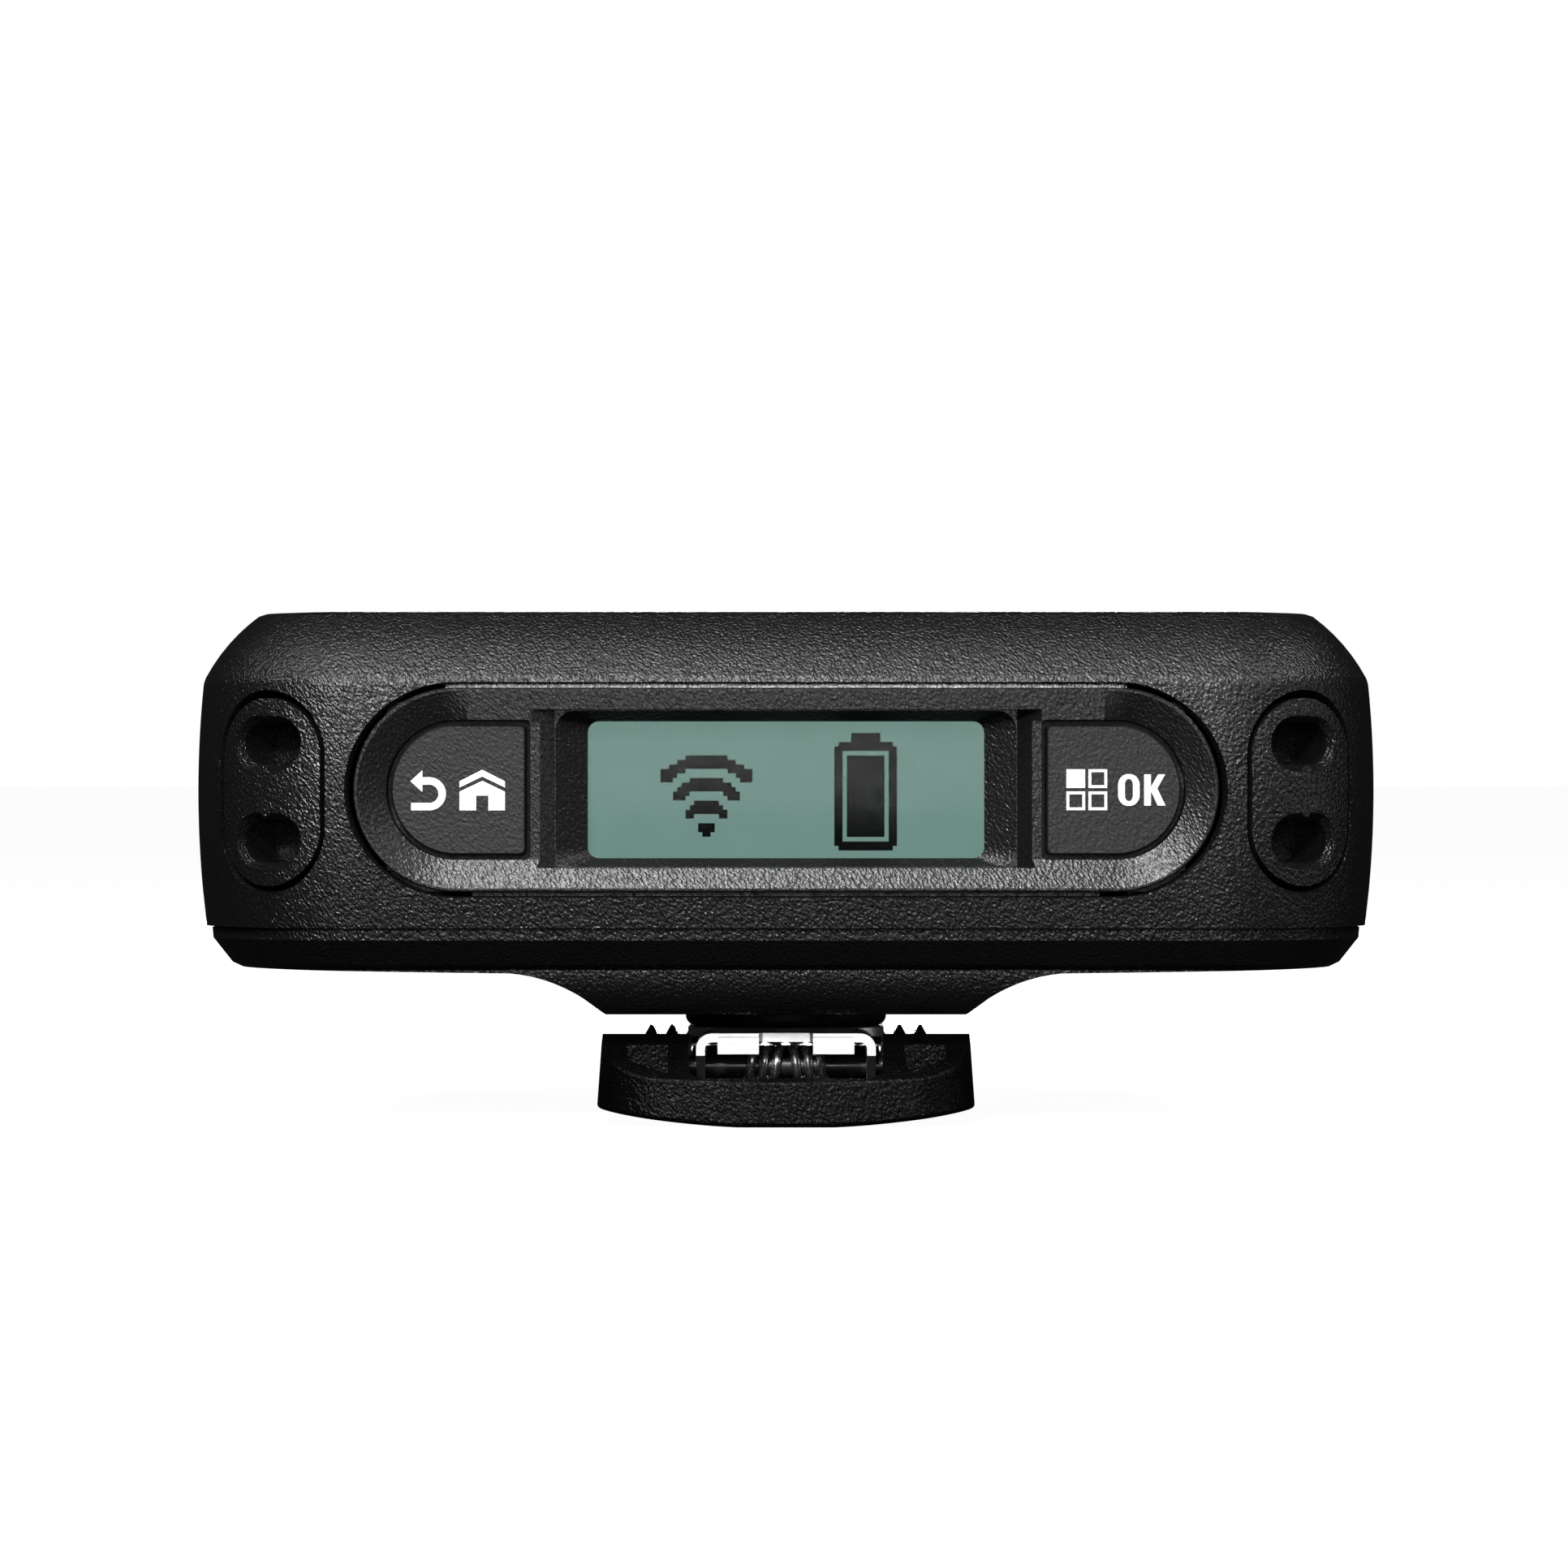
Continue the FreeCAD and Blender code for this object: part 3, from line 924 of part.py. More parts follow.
# Edges under the foot line are the bottom ones; those of the thumb rest lie between lip and ridge.
foot_line, lip_line, ridge_line, rest_rear = 1.35, 2.0, 5.3, -17.0
dress_edges(arm, "arm_foot_rounding", "Fillet", "arm_foot_radius",
            lambda box: box.ZMax < foot_line)
dress_edges(arm, "arm_rim_edge", "Chamfer", "arm_rim_chamfer",
            lambda box: box.YMax < rest_rear and lip_line < box.ZMin < ridge_line)
slab(arm, "arm_recess", "XY_Plane",
     [rounded("0 - @recess_half", "@recess_half", "@recess_front", "@recess_rear",
              "@recess_corner")], "@recess_floor", "@arm_block_top + 1", cut=True)
for side_name, side in SIDES:
    slab(arm, f"arm_pocket_{side_name}", "XY_Plane",
         [[(f"{side} * @pocket_inner", "@pocket_rear"), (f"{side} * @pocket_inner", "@pocket_front"),
           (f"{side} * (@pocket_inner + 0.5)", "@pocket_front"),
           (f"{side} * @pocket_outer", "@pocket_cheek"),
           (f"{side} * @pocket_outer", "@pocket_rear")]],
         "@pocket_floor", "@arm_block_top + 1", cut=True)
first_tip = "(0 - @tooth_pitch * (@tooth_count - 1) / 2)"
tooth = slab(arm, "jaw_tooth", "XZ_Plane", [[
    (f"{first_tip} - @tooth_pitch / 2", "@arm_jaw_top - 0.2"),
    (f"{first_tip} + @tooth_pitch / 2", "@arm_jaw_top - 0.2"),
    (f"{first_tip} + @tooth_pitch / 2", "@arm_jaw_top"),
    (f"{first_tip} + @tooth_tip", "@arm_jaw_top + @tooth_height"),
    (f"{first_tip} - @tooth_tip", "@arm_jaw_top + @tooth_height"),
    (f"{first_tip} - @tooth_pitch / 2", "@arm_jaw_top"),
]], "@tooth_front", "@tooth_rear")
doc.recompute()
teeth = arm.newObject("PartDesign::LinearPattern", "jaw_teeth")
teeth.Originals = [tooth]
teeth.Direction = (next(item for item in arm.Origin.OriginFeatures if item.Role == "X_Axis"), [""])
teeth.setExpression("Length", "dims.tooth_pitch * (dims.tooth_count - 1)")
teeth.setExpression("Occurrences", "dims.tooth_count")
arm.Tip = teeth
slab(arm, "arm_axle_bore", "YZ_Plane", [("@axle_y", "@axle_z", "@arm_bore_radius")],
     "0 - @arm_crown_half - 1", "@arm_crown_half + 1", cut=True)
node(arm, "clip_arm")

doc.recompute()
for item in doc.Objects:
    if "Invalid" in item.State or "Error" in item.State:
        raise RuntimeError(f"{item.Label} did not build: {item.State}")
for item in nodes:
    shape = item.Shape
    if shape.isNull() or not shape.isValid() or not shape.Solids:
        raise RuntimeError(f"{item.Label} has no sound solid")
    shape.exportStep(f"parts/{item.Label}.step")
    bounds = shape.BoundBox
    print(f"{item.Label:24s} solids {len(shape.Solids)} volume {shape.Volume:10.2f} "
          f"x {bounds.XMin:7.2f} {bounds.XMax:7.2f} y {bounds.YMin:7.2f} {bounds.YMax:7.2f} "
          f"z {bounds.ZMin:6.2f} {bounds.ZMax:6.2f}")
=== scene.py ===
import math

import bmesh
import bpy
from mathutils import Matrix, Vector


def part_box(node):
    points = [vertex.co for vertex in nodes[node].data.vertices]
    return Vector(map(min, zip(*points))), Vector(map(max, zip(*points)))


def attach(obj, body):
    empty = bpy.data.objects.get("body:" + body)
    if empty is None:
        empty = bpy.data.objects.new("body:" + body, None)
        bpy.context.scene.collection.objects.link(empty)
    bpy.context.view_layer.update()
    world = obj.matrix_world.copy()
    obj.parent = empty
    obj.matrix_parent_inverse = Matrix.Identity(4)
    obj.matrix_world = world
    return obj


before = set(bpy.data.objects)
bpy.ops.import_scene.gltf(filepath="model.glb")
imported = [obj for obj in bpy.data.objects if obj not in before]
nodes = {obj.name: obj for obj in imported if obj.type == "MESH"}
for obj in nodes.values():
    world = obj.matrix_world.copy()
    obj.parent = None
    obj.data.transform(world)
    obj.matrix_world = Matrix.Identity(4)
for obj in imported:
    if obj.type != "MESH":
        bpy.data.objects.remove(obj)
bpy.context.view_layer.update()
MM = 0.001


# ---------------------------------------------------------------- camera
EYE_DISTANCE = 419.0 * MM
EYE_HEIGHT = 20.8 * MM
EYE_ASIDE = -0.12 * MM
LENS = 150.5
NEAREST = 0.01
FARTHEST = 200.0

camera_data = bpy.data.cameras.new("camera")
camera_data.sensor_width = 36.0
camera_data.lens = LENS
camera_data.clip_start = NEAREST
camera_data.clip_end = FARTHEST
camera = bpy.data.objects.new("camera", camera_data)
bpy.context.scene.collection.objects.link(camera)
camera.location = (EYE_ASIDE, -EYE_DISTANCE, EYE_HEIGHT)
camera.rotation_euler = (math.radians(90), 0, 0)
bpy.context.scene.camera = camera


# ---------------------------------------------------------------- node helpers
class Shader:
    """A small wrapper for building one node material."""

    def __init__(self, name):
        self.material = bpy.data.materials.new(name)
        self.material.use_nodes = True
        self.tree = self.material.node_tree
        self.tree.nodes.clear()
        self.output = self.tree.nodes.new("ShaderNodeOutputMaterial")
        self.surface = self.tree.nodes.new("ShaderNodeBsdfPrincipled")
        self.link(self.surface.outputs[0], self.output.inputs["Surface"])

    def link(self, source, target):
        self.tree.links.new(source, target)

    def fix(self, socket, value):
        """Set one socket of the surface to a constant."""
        self.surface.inputs[socket].default_value = value

    def drive(self, socket, source):
        """Let a node decide one socket of the surface."""
        self.link(source, self.surface.inputs[socket])

    def place(self, stretch=(1, 1, 1), turn=(0, 0, 0), kind="POINT"):
        """Object coordinates, in metres, with an optional stretch and turn."""
        coordinates = self.tree.nodes.new("ShaderNodeTexCoord")
        mapping = self.tree.nodes.new("ShaderNodeMapping")
        mapping.vector_type = kind
        mapping.inputs["Scale"].default_value = stretch
        mapping.inputs["Rotation"].default_value = turn
        self.link(coordinates.outputs["Object"], mapping.inputs["Vector"])
        return mapping.outputs["Vector"]

    def noise(self, where, size, detail=2.0, roughness=0.5, distortion=0.0):
        """Noise whose features are about `size` metres across."""
        made = self.tree.nodes.new("ShaderNodeTexNoise")
        made.inputs["Scale"].default_value = 1.0 / size
        made.inputs["Detail"].default_value = detail
        made.inputs["Roughness"].default_value = roughness
        made.inputs["Distortion"].default_value = distortion
        self.link(where, made.inputs["Vector"])
        return made.outputs["Fac"]

    def pores(self, where, size, smoothness):
        """Soft round cells about `size` metres across."""
        made = self.tree.nodes.new("ShaderNodeTexVoronoi")
        made.feature = "SMOOTH_F1"
        made.inputs["Scale"].default_value = 1.0 / size
        made.inputs["Smoothness"].default_value = smoothness
        self.link(where, made.inputs["Vector"])
        return made.outputs["Distance"]

    def ramp(self, value, low, high):
        """A blend of two colours. Each end is a position and a colour."""
        made = self.tree.nodes.new("ShaderNodeValToRGB")
        for element, (position, color) in zip(made.color_ramp.elements, (low, high)):
            element.position = position
            element.color = (*color, 1.0)
        self.link(value, made.inputs["Fac"])
        return made.outputs["Color"]

    def span(self, value, low, high, to_low, to_high):
        """Map low to high onto to_low to to_high."""
        made = self.tree.nodes.new("ShaderNodeMapRange")
        for key, number in (("From Min", low), ("From Max", high),
                            ("To Min", to_low), ("To Max", to_high)):
            made.inputs[key].default_value = number
        self.link(value, made.inputs["Value"])
        return made.outputs["Result"]

    def calculate(self, operation, first, second):
        """Work out first with second, which is a node's output or a number."""
        made = self.tree.nodes.new("ShaderNodeMath")
        made.operation = operation
        self.link(first, made.inputs[0])
        if isinstance(second, float):
            made.inputs[1].default_value = second
        else:
            self.link(second, made.inputs[1])
        return made.outputs[0]

    def mix(self, first, first_share, second, second_share):
        """The sum of two values, each times its share."""
        return self.calculate("ADD", self.calculate("MULTIPLY", first, first_share),
                              self.calculate("MULTIPLY", second, second_share))

    def bump(self, height, depth):
        made = self.tree.nodes.new("ShaderNodeBump")
        made.inputs["Distance"].default_value = depth
        made.inputs["Strength"].default_value = 1.0
        self.link(height, made.inputs["Height"])
        self.drive("Normal", made.outputs["Normal"])


def grey(value, warm=0.0):
    return (value * (1 + warm), value, value * (1 - warm))


# ---------------------------------------------------------------- kinds of material
GRAIN_SIZE = 0.15 * MM
GRAIN_DEPTH = 0.08 * MM
GRAIN_SLANT = math.radians(-38)
GRAIN_STRETCH = (1, 1, 1.5)


def grained_plastic(name, dark, light, rough=(0.24, 0.34), depth=GRAIN_DEPTH, specular=0.5):
    """Moulded black plastic with a fine, even leather grain."""
    shader = Shader(name)
    where = shader.place(GRAIN_STRETCH, (0, GRAIN_SLANT, 0), "TEXTURE")
    wrinkles = shader.noise(where, GRAIN_SIZE, detail=0.7, distortion=0.35)
    pores = shader.pores(where, GRAIN_SIZE * 1.3, 0.5)
    fine = shader.noise(where, GRAIN_SIZE * 0.3, detail=0.0)
    creases = shader.calculate("ADD", wrinkles, shader.calculate("MULTIPLY", pores, -0.35))
    height = shader.calculate("ADD", creases, shader.calculate("MULTIPLY", fine, 0.10))
    shader.bump(height, depth)
    patches = shader.noise(where, 9 * MM, detail=3.0)
    tone = shader.mix(height, 0.7, patches, 0.4)
    shader.drive("Base Color", shader.ramp(tone, (0.25, grey(dark)), (0.85, grey(light))))
    shader.drive("Roughness", shader.span(tone, 0.2, 0.9, rough[1], rough[0]))
    shader.fix("Specular IOR Level", specular)
    return shader.material


def smooth_plastic(name, dark, light, rough=(0.25, 0.4), specular=0.5):
    """Smooth moulded plastic with faint flow marks and dust."""
    shader = Shader(name)
    where = shader.place()
    flow = shader.noise(where, 1.6 * MM, detail=4.0, distortion=0.4)
    dust = shader.noise(where, 0.12 * MM)
    shader.drive("Base Color", shader.ramp(flow, (0.3, dark), (0.75, light)))
    shader.drive("Roughness", shader.span(flow, 0.3, 0.7, *rough))
    shader.bump(dust, 0.004 * MM)
    shader.fix("Specular IOR Level", specular)
    return shader.material


def metal(name, dark, light, rough=(0.18, 0.34), lines=(1, 1, 1)):
    """Bare or plated metal with drawn or rolled lines along one axis."""
    shader = Shader(name)
    shader.fix("Metallic", 1.0)
    drawn = shader.noise(shader.place(lines), 0.22 * MM, detail=5.0, roughness=0.6)
    broad = shader.noise(shader.place(), 2.4 * MM, detail=3.0)
    shader.drive("Base Color", shader.ramp(broad, (0.3, dark), (0.7, light)))
    shader.drive("Roughness", shader.span(drawn, 0.3, 0.7, *rough))
    shader.bump(drawn, 0.004 * MM)
    return shader.material


def display_material():
    """The grey-green face of the display, with a faint mottle. Its colour is painted light: the
    face glows by emission in place of the light it reflects.
    """
    shader = Shader("display_face_glow")
    where = shader.place()
    mottle = shader.noise(where, 3.5 * MM, detail=3.0)
    fine = shader.noise(where, 0.05 * MM, detail=1.0)
    tone = shader.mix(mottle, 0.8, fine, 0.2)
    dim_green = (0.125, 0.232, 0.199)
    bright_green = (0.132, 0.244, 0.209)
    # Painted light: the emission gives the face its lit grey-green.
    shader.drive("Emission Color", shader.ramp(tone, (0.3, dim_green), (0.7, bright_green)))
    shader.fix("Emission Strength", 1.0)
    shader.fix("Base Color", (0.02, 0.03, 0.028, 1))
    shader.fix("Roughness", 0.6)
    shader.fix("Specular IOR Level", 0.1)
    return shader.material


def window_material():
    """Clear acrylic: almost all of it lets the display through."""
    shader = Shader("window_clear")
    haze = shader.noise(shader.place(), 2.0 * MM, detail=3.0)
    shader.drive("Roughness", shader.span(haze, 0.3, 0.7, 0.03, 0.08))
    shader.fix("Base Color", (0.02, 0.03, 0.03, 1))
    shader.fix("Alpha", 0.035)
    shader.fix("Specular IOR Level", 0.5)
    return shader.material


def printed_material(name, brightness, rough):
    """A thin printed layer with slight wear."""
    shader = Shader(name)
    wear = shader.noise(shader.place(), 0.4 * MM, detail=3.0)
    shader.drive("Base Color", shader.ramp(wear, (0.2, grey(brightness * 0.93)),
                                           (0.6, grey(brightness))))
    shader.drive("Roughness", shader.span(wear, 0.3, 0.7, rough, rough + 0.1))
    shader.bump(wear, 0.003 * MM)
    return shader


# ---------------------------------------------------------------- materials
housing = grained_plastic("housing_grain", 0.003, 0.008)
panel = grained_plastic("panel_grain", 0.004, 0.010, depth=0.04 * MM, specular=0.42)
lug = grained_plastic("lug_grain", 0.003, 0.007, specular=0.7)
button = grained_plastic("button_grain", 0.006, 0.010, rough=(0.36, 0.48), depth=0.03 * MM,
                         specular=0.42)
# The clip arm is darker and less shiny than the housing: painted shade for the shade that falls
# under the body.
clip = grained_plastic("clip_grain_shaded", 0.001, 0.003, specular=0.11)
hub = smooth_plastic("hub_plastic", grey(0.004), grey(0.008), rough=(0.45, 0.55), specular=0.3)
rubber = smooth_plastic("gasket_rubber", grey(0.004), grey(0.008), rough=(0.6, 0.8))
dark_steel = metal("black_oxide_steel", grey(0.06), grey(0.10), rough=(0.3, 0.45))
bright_steel = metal("bright_sheet_steel", grey(0.66, 0.01), grey(0.80, 0.01),
                     rough=(0.36, 0.48), lines=(1, 8, 1))
spring_steel = metal("spring_wire", grey(0.50, 0.02), grey(0.72, 0.02), rough=(0.2, 0.34),
                     lines=(6, 1, 1))
black_pin = smooth_plastic("black_pin", grey(0.012), grey(0.022))
inner_plastic = smooth_plastic("inner_plastic", grey(0.010), grey(0.018))
tin = metal("tin_plate", grey(0.52), grey(0.66))
amber = smooth_plastic("antenna_film", (0.30, 0.13, 0.02), (0.42, 0.2, 0.03))
foil = metal("cell_foil", grey(0.42), grey(0.55))
foam = smooth_plastic("pad_foam", grey(0.02), grey(0.04), rough=(0.8, 0.95))
milky = smooth_plastic("light_guide", grey(0.75), grey(0.82))
board = smooth_plastic("circuit_board", (0.006, 0.05, 0.02), (0.01, 0.08, 0.03))
display = display_material()
window = window_material()

glowing_white_print = printed_material("glowing_white_print", 0.86, 0.45)
# The white print also glows faintly by emission: painted light that makes the print look
# brightly lit.
glowing_white_print.fix("Emission Color", (1, 1, 1, 1))
glowing_white_print.fix("Emission Strength", 0.25)
segments = printed_material("display_segments", 0.001, 0.85)
segments.fix("Specular IOR Level", 0.0)

LOOKS = {
    "upper_housing": housing, "lower_cover": housing, "front_panel": panel,
    "lug_insert_left": lug, "lug_insert_right": lug, "housing_gasket": rubber,
    "cover_screws": dark_steel, "display_window": window, "display_glass": display,
    "display_backlight": milky, "display_frame": inner_plastic, "back_button": button,
    "ok_button": button, "back_switch": inner_plastic, "ok_switch": inner_plastic,
    "back_switch_plunger": inner_plastic, "ok_switch_plunger": inner_plastic,
    "key_board": board, "main_board": board, "radio_shield": tin, "antenna": amber,
    "battery_cell": foil, "battery_pad": foam, "usb_port": tin, "sync_jack": inner_plastic,
    "clip_hub": hub, "swivel_washer": tin, "swivel_screw": dark_steel,
    "clip_bracket": bright_steel, "clip_rivets": bright_steel, "clip_axle": black_pin,
    "torsion_spring_left": spring_steel, "torsion_spring_right": spring_steel, "clip_arm": clip,
}
for node_name, look in LOOKS.items():
    thing = nodes[node_name]
    if not thing.material_slots:
        thing.data.materials.append(look)
    for material_slot in thing.material_slots:
        material_slot.link = "OBJECT"
        material_slot.material = look


# ---------------------------------------------------------------- outlines
# Outlines are lists of (x, z) in mm from the middle of the node that they are printed on.
def rectangle(left, right, low, high):
    return [(left, low), (right, low), (right, high), (left, high)]


def arc(x, z, radius, start, end, steps=20, stretch=1.0):
    """Points of an arc, angles in degrees anticlockwise from +X."""
    points = []
    for index in range(steps + 1):
        angle = math.radians(start + (end - start) * index / steps)
        points.append((x + radius * math.cos(angle), z + radius * stretch * math.sin(angle)))
    return points


def ribbon(inside, outside):
    """Quads between two lines of points with the same count."""
    return [[inside[index], outside[index], outside[index + 1], inside[index + 1]]
            for index in range(len(inside) - 1)]


def rounded_rectangle(x, z, half_wide, half_tall, corner_wide, corner_tall):
    """A closed line of points, anticlockwise, with corners of eight steps."""
    points = []
    for across, up, start in ((1, -1, -90), (1, 1, 0), (-1, 1, 90), (-1, -1, 180)):
        points += arc(x + across * (half_wide - corner_wide), z + up * (half_tall - corner_tall),
                      corner_wide, start, start + 90, 8, corner_tall / corner_wide)
    points.append(points[0])
    return points


def mirrored(outline, middle):
    """The same outline on the other side of the line x = middle."""
    return [(2 * middle - x, z) for x, z in outline]


# ---------------------------------------------------------------- thin printed pieces
PRINT_GAP = 0.012 * MM
PRINT_THICKNESS = {"display": 0.010 * MM, "button": 0.011 * MM}


def printed_piece(name, outlines, behind, body, slot, shader):
    """Flat shapes just in front of the node `behind`, facing -Y."""
    low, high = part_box(behind)
    middle_x = (low.x + high.x) / 2
    middle_z = (low.z + high.z) / 2
    front = low.y - PRINT_GAP
    back = front + PRINT_THICKNESS[slot]
    mesh = bmesh.new()
    for outline in outlines:
        places = [(middle_x + x * MM, middle_z + z * MM) for x, z in outline]
        near = [mesh.verts.new((x, front, z)) for x, z in places]
        far = [mesh.verts.new((x, back, z)) for x, z in places]
        mesh.faces.new(near)
        mesh.faces.new(list(reversed(far)))
        count = len(outline)
        for index in range(count):
            after = (index + 1) % count
            mesh.faces.new((near[index], far[index], far[after], near[after]))
    bmesh.ops.recalc_face_normals(mesh, faces=mesh.faces)
    data = bpy.data.meshes.new(name)
    mesh.to_mesh(data)
    mesh.free()
    piece = bpy.data.objects.new(name, data)
    bpy.context.scene.collection.objects.link(piece)
    data.materials.append(shader.material)
    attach(piece, body)


# ---------------------------------------------------------------- display symbols
DOT_WIDE = 0.254
DOT_TALL = 0.2745

SIGNAL_COLUMNS = 22
SIGNAL_ROWS = 18
SIGNAL_CENTRE_ROW = 15.7
SIGNAL_LEFT = -7.62
SIGNAL_TOP = 2.09
# Inner radius, outer radius, half width and last row of each wave and of the spot, in dots.
SIGNAL_RINGS = ((13.6, 16.5, 11, 5), (8.6, 11.3, 8, 9), (3.7, 6.4, 5, 13), (0.0, 1.7, 2, 17))

CHARGE_LEFT = 2.93
CHARGE_TOP = 3.45
CHARGE_FILL_ROWS = 18


def signal_dots():
    """Rows of the radio symbol: three waves and a spot around one centre."""
    rows = []
    for row in range(SIGNAL_ROWS):
        marks = ""
        for column in range(SIGNAL_COLUMNS):
            across = abs(column - (SIGNAL_COLUMNS - 1) / 2)
            reach = math.hypot(across, SIGNAL_CENTRE_ROW - row)
            lit = any(inner < reach < outer and across < half and row <= last
                      for inner, outer, half, last in SIGNAL_RINGS)
            marks += "#" if lit else "."
        rows.append(marks)
    return rows


def charge_dots():
    """Rows of the battery symbol: a cap, a thick case, a thin light ring and a full charge."""
    cap = "." * 4 + "#" * 7 + "." * 4
    shoulder = "." + "#" * 13 + "."
    wall = "#" * 15
    gap = "##" + "." * 11 + "##"
    fill = "##." + "#" * 9 + ".##"
    return [cap, cap, shoulder, wall, gap] + [fill] * CHARGE_FILL_ROWS + [gap, wall, shoulder]


def dot_runs(rows, left, top):
    """Each run of filled dots in a row as one rectangle."""
    outlines = []
    for level, row in enumerate(rows):
        high = top - level * DOT_TALL
        start = None
        for column, mark in enumerate(row + "."):
            if mark == "#" and start is None:
                start = column
            elif mark != "#" and start is not None:
                outlines.append(rectangle(left + start * DOT_WIDE, left + column * DOT_WIDE,
                                          high - DOT_TALL, high))
                start = None
    return outlines


printed_piece("signal_symbol", dot_runs(signal_dots(), SIGNAL_LEFT, SIGNAL_TOP),
              "display_glass", "housing", "display", segments)
printed_piece("charge_symbol", dot_runs(charge_dots(), CHARGE_LEFT, CHARGE_TOP),
              "display_glass", "housing", "display", segments)


# ---------------------------------------------------------------- button symbols
def return_arrow():
    """An arrow head, a shaft, a half-round turn and a foot."""
    turn_x = -1.74
    turn_z = -0.24
    outside = 1.0
    inside = 0.55
    foot_left = -2.84
    head_left = -2.89
    head_right = -2.16
    head = [(head_left, 0.52), (head_right, -0.13), (head_right, 1.18)]
    shaft = rectangle(head_right, turn_x, turn_z + inside, turn_z + outside)
    foot = rectangle(foot_left, turn_x, turn_z - outside, turn_z - inside)
    turn = ribbon(arc(turn_x, turn_z, inside, -90, 90), arc(turn_x, turn_z, outside, -90, 90))
    return [head, shaft, foot] + turn


def house():
    """A roof chevron over a body with a doorway, the same on both sides."""
    middle = 1.45
    eave = middle - 1.37
    door = middle - 0.37
    base = -1.24
    door_top = -0.35
    wall_top = -0.11
    gable = 0.54
    roof_half = [(eave, 0.52), (eave, 0.14), (middle, 0.80), (middle, 1.21)]
    body_half = [(eave, wall_top), (eave, base), (door, base), (door, door_top),
                 (middle, door_top), (middle, gable)]
    return [roof_half, mirrored(roof_half, middle), body_half, mirrored(body_half, middle)]


def four_squares():
    """The first square is filled, and the others are drawn as frames."""
    side = 1.13
    rule = 0.17
    lefts = (-2.86, -1.53)
    top_low = 0.11
    bottom_low = -1.23
    outlines = [rectangle(lefts[0], lefts[0] + side, top_low, top_low + side)]
    for left, low in ((lefts[1], top_low), (lefts[0], bottom_low), (lefts[1], bottom_low)):
        right = left + side
        high = low + side
        outlines.append(rectangle(left, right, low, low + rule))
        outlines.append(rectangle(left, right, high - rule, high))
        outlines.append(rectangle(left, left + rule, low + rule, high - rule))
        outlines.append(rectangle(right - rule, right, low + rule, high - rule))
    return outlines


def ok_word():
    """The letters O and K."""
    ring_x = 0.91
    middle = -0.01
    low = middle - 0.94
    high = middle + 0.94
    stem_left = 1.83
    stem_right = 2.24
    ring = ribbon(rounded_rectangle(ring_x, middle, 0.24, 0.67, 0.22, 0.34),
                  rounded_rectangle(ring_x, middle, 0.65, 0.96, 0.60, 0.66))
    stem = rectangle(stem_left, stem_right, low, high)
    arm = [(stem_right, 0.17), (2.26, -0.18), (2.62, 0.08), (3.10, high), (2.67, high)]
    leg = [(2.28, -0.15), (2.65, low), (3.12, low), (2.60, 0.13)]
    return ring + [stem, arm, leg]


for piece_name, outlines, node_name in (("return_symbol", return_arrow(), "back_button"),
                                        ("home_symbol", house(), "back_button"),
                                        ("menu_symbol", four_squares(), "ok_button"),
                                        ("ok_letters", ok_word(), "ok_button")):
    printed_piece(piece_name, outlines, node_name, node_name, "button", glowing_white_print)


# ---------------------------------------------------------------- floor
FLOOR_HALF = 60.0

floor_mesh = bmesh.new()
corners = [floor_mesh.verts.new((x, y, 0)) for x, y in
           rectangle(-FLOOR_HALF, FLOOR_HALF, -FLOOR_HALF, FLOOR_HALF)]
floor_mesh.faces.new(corners)
floor_data = bpy.data.meshes.new("floor")
floor_mesh.to_mesh(floor_data)
floor_mesh.free()
floor = bpy.data.objects.new("floor", floor_data)
bpy.context.scene.collection.objects.link(floor)
floor_look = Shader("floor_paper")
floor_tone = floor_look.noise(floor_look.place(), 60 * MM, detail=3.0)
floor_look.drive("Base Color", floor_look.ramp(floor_tone, (0.3, grey(0.20)), (0.7, grey(0.22))))
floor_look.fix("Emission Color", (1, 1, 1, 1))
floor_look.fix("Emission Strength", 0.965)
floor_look.fix("Roughness", 0.9)
floor_look.fix("Specular IOR Level", 0.0)
floor_data.materials.append(floor_look.material)
floor.visible_diffuse = False
floor.visible_glossy = False
floor.visible_shadow = False


# ---------------------------------------------------------------- surroundings
LIT_STRENGTH = 0.012
SEEN_STRENGTH = 1.0

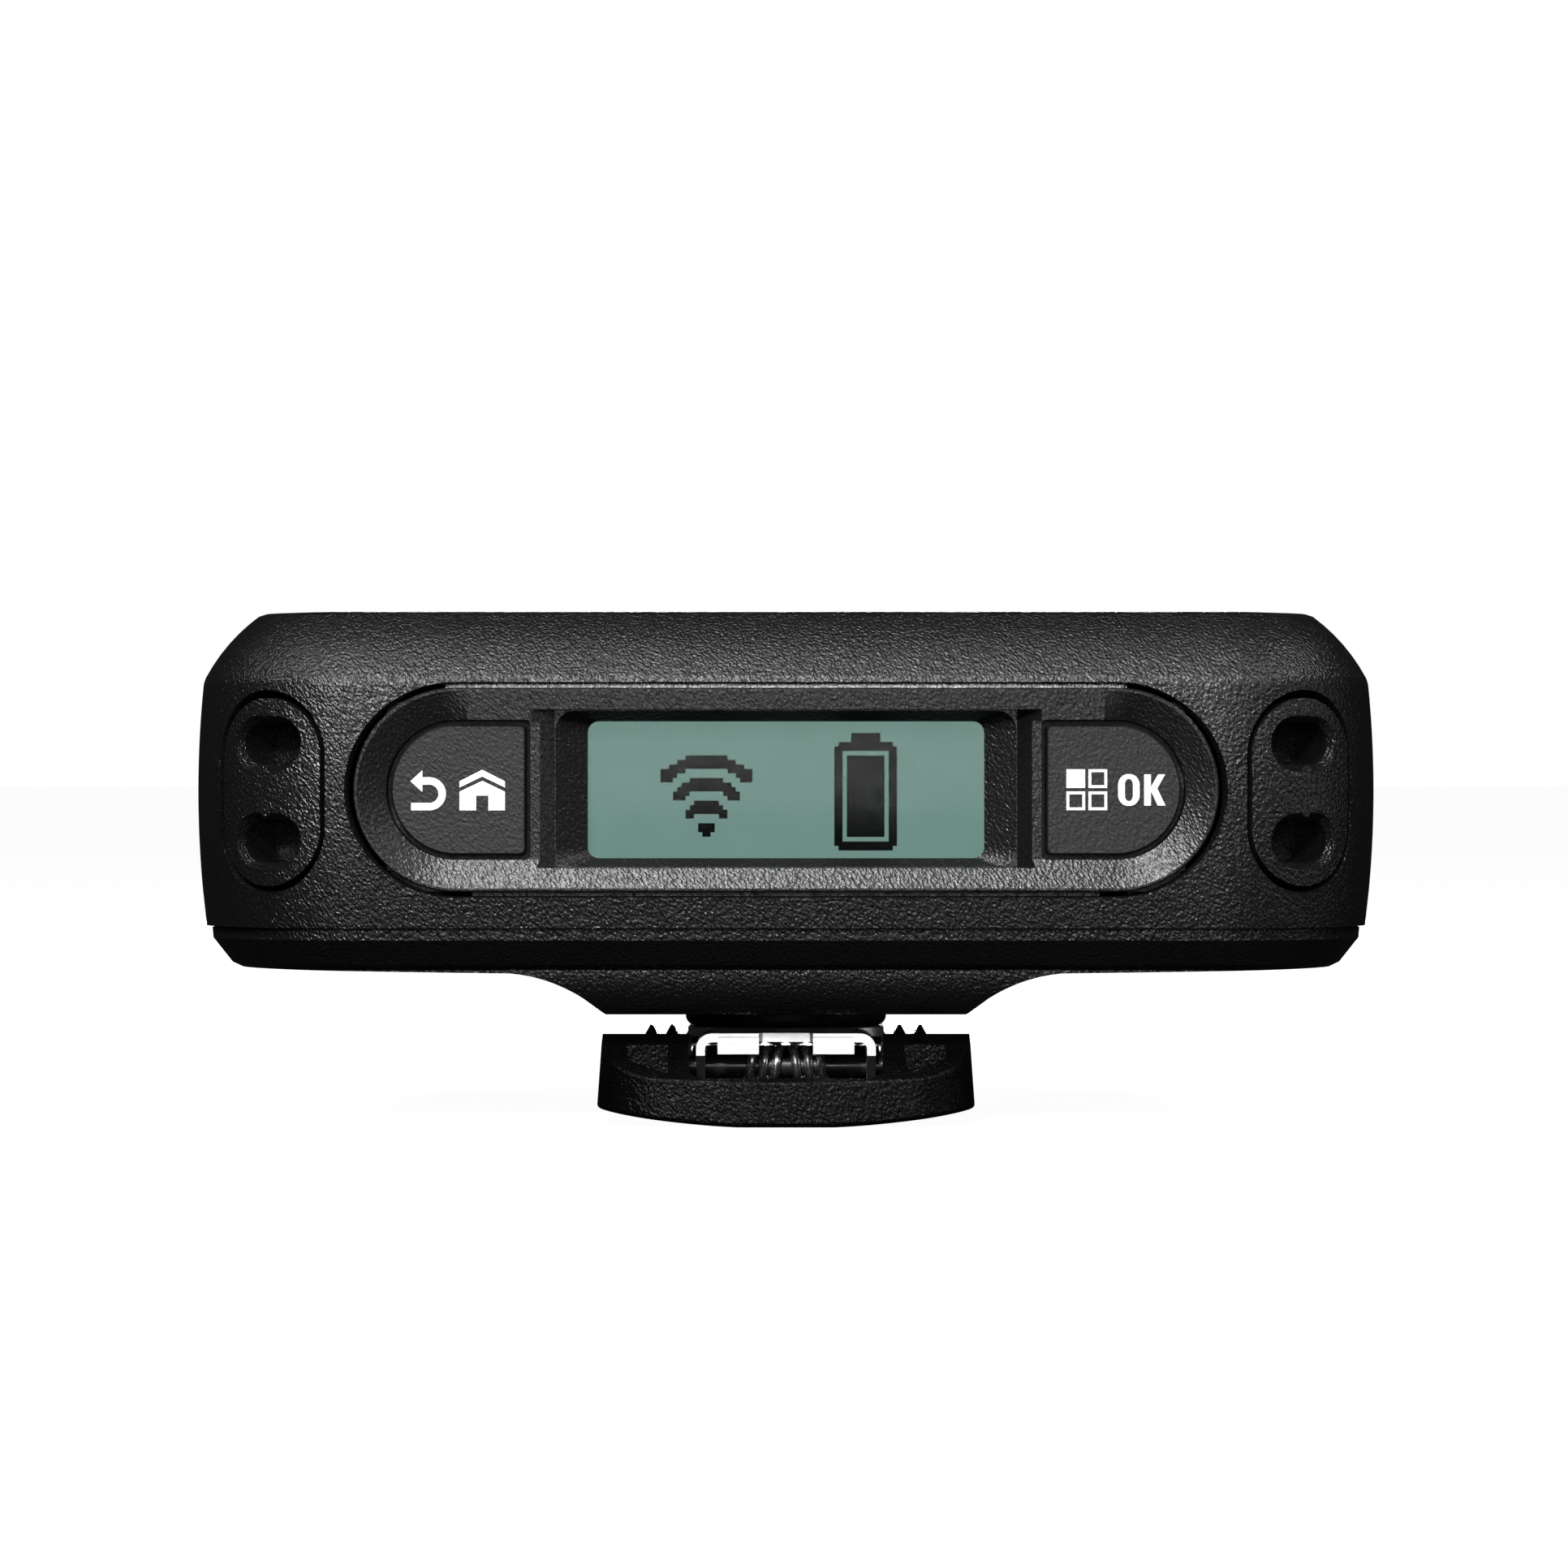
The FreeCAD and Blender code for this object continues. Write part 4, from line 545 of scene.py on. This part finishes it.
world = bpy.data.worlds.new("studio")
bpy.context.scene.world = world
world.use_nodes = True
sky = world.node_tree
sky.nodes.clear()
sky_output = sky.nodes.new("ShaderNodeOutputWorld")
sky_mix = sky.nodes.new("ShaderNodeMixShader")
sky_path = sky.nodes.new("ShaderNodeLightPath")
sky.links.new(sky_path.outputs["Is Camera Ray"], sky_mix.inputs[0])
for socket, strength in ((1, LIT_STRENGTH), (2, SEEN_STRENGTH)):
    white = sky.nodes.new("ShaderNodeBackground")
    white.inputs["Color"].default_value = (1, 1, 1, 1)
    white.inputs["Strength"].default_value = strength
    sky.links.new(white.outputs[0], sky_mix.inputs[socket])
sky.links.new(sky_mix.outputs[0], sky_output.inputs[0])


# ---------------------------------------------------------------- studio lights
AIM = Vector((0, 0, 0.020))


def studio_light(name, azimuth, elevation, distance, size, power):
    """A soft light aimed at the object. Azimuth 0 is the front, and grows towards +X."""
    turn = math.radians(azimuth)
    rise = math.radians(elevation)
    where = Vector((distance * math.cos(rise) * math.sin(turn),
                    -distance * math.cos(rise) * math.cos(turn),
                    AIM.z + distance * math.sin(rise)))
    data = bpy.data.lights.new(name, "AREA")
    data.shape = "RECTANGLE"
    data.size, data.size_y = size
    data.energy = power
    lamp = bpy.data.objects.new(name, data)
    lamp.location = where
    lamp.rotation_euler = (AIM - where).to_track_quat("-Z", "Y").to_euler()
    bpy.context.scene.collection.objects.link(lamp)


# Name, azimuth and elevation in degrees, distance and size in metres, power in watts.
STUDIO = (("softbox_key", -10, 27, 0.70, (0.08, 0.08), 3.9),
          ("softbox_left", -20, 46, 0.70, (0.08, 0.08), 1.6),
          ("high_left", -10, 66, 0.70, (0.10, 0.10), 0.7),
          ("softbox_right", 36, 27, 0.70, (0.10, 0.10), 0.5),
          ("edge_left", -72, 44, 0.70, (0.12, 0.12), 1.1),
          ("edge_right", 72, 44, 0.70, (0.12, 0.12), 1.3),
          ("low_right", 72, 4, 0.70, (0.12, 0.12), 0.2),
          ("front_fill", 0, 3, 0.70, (0.12, 0.08), 0.45),
          ("low_front", 0, -12, 0.70, (0.20, 0.08), 0.1),
          ("rear", 180, 3, 0.60, (0.14, 0.06), 1.6))
for light in STUDIO:
    studio_light(*light)

bpy.context.scene.view_settings.view_transform = "Standard"
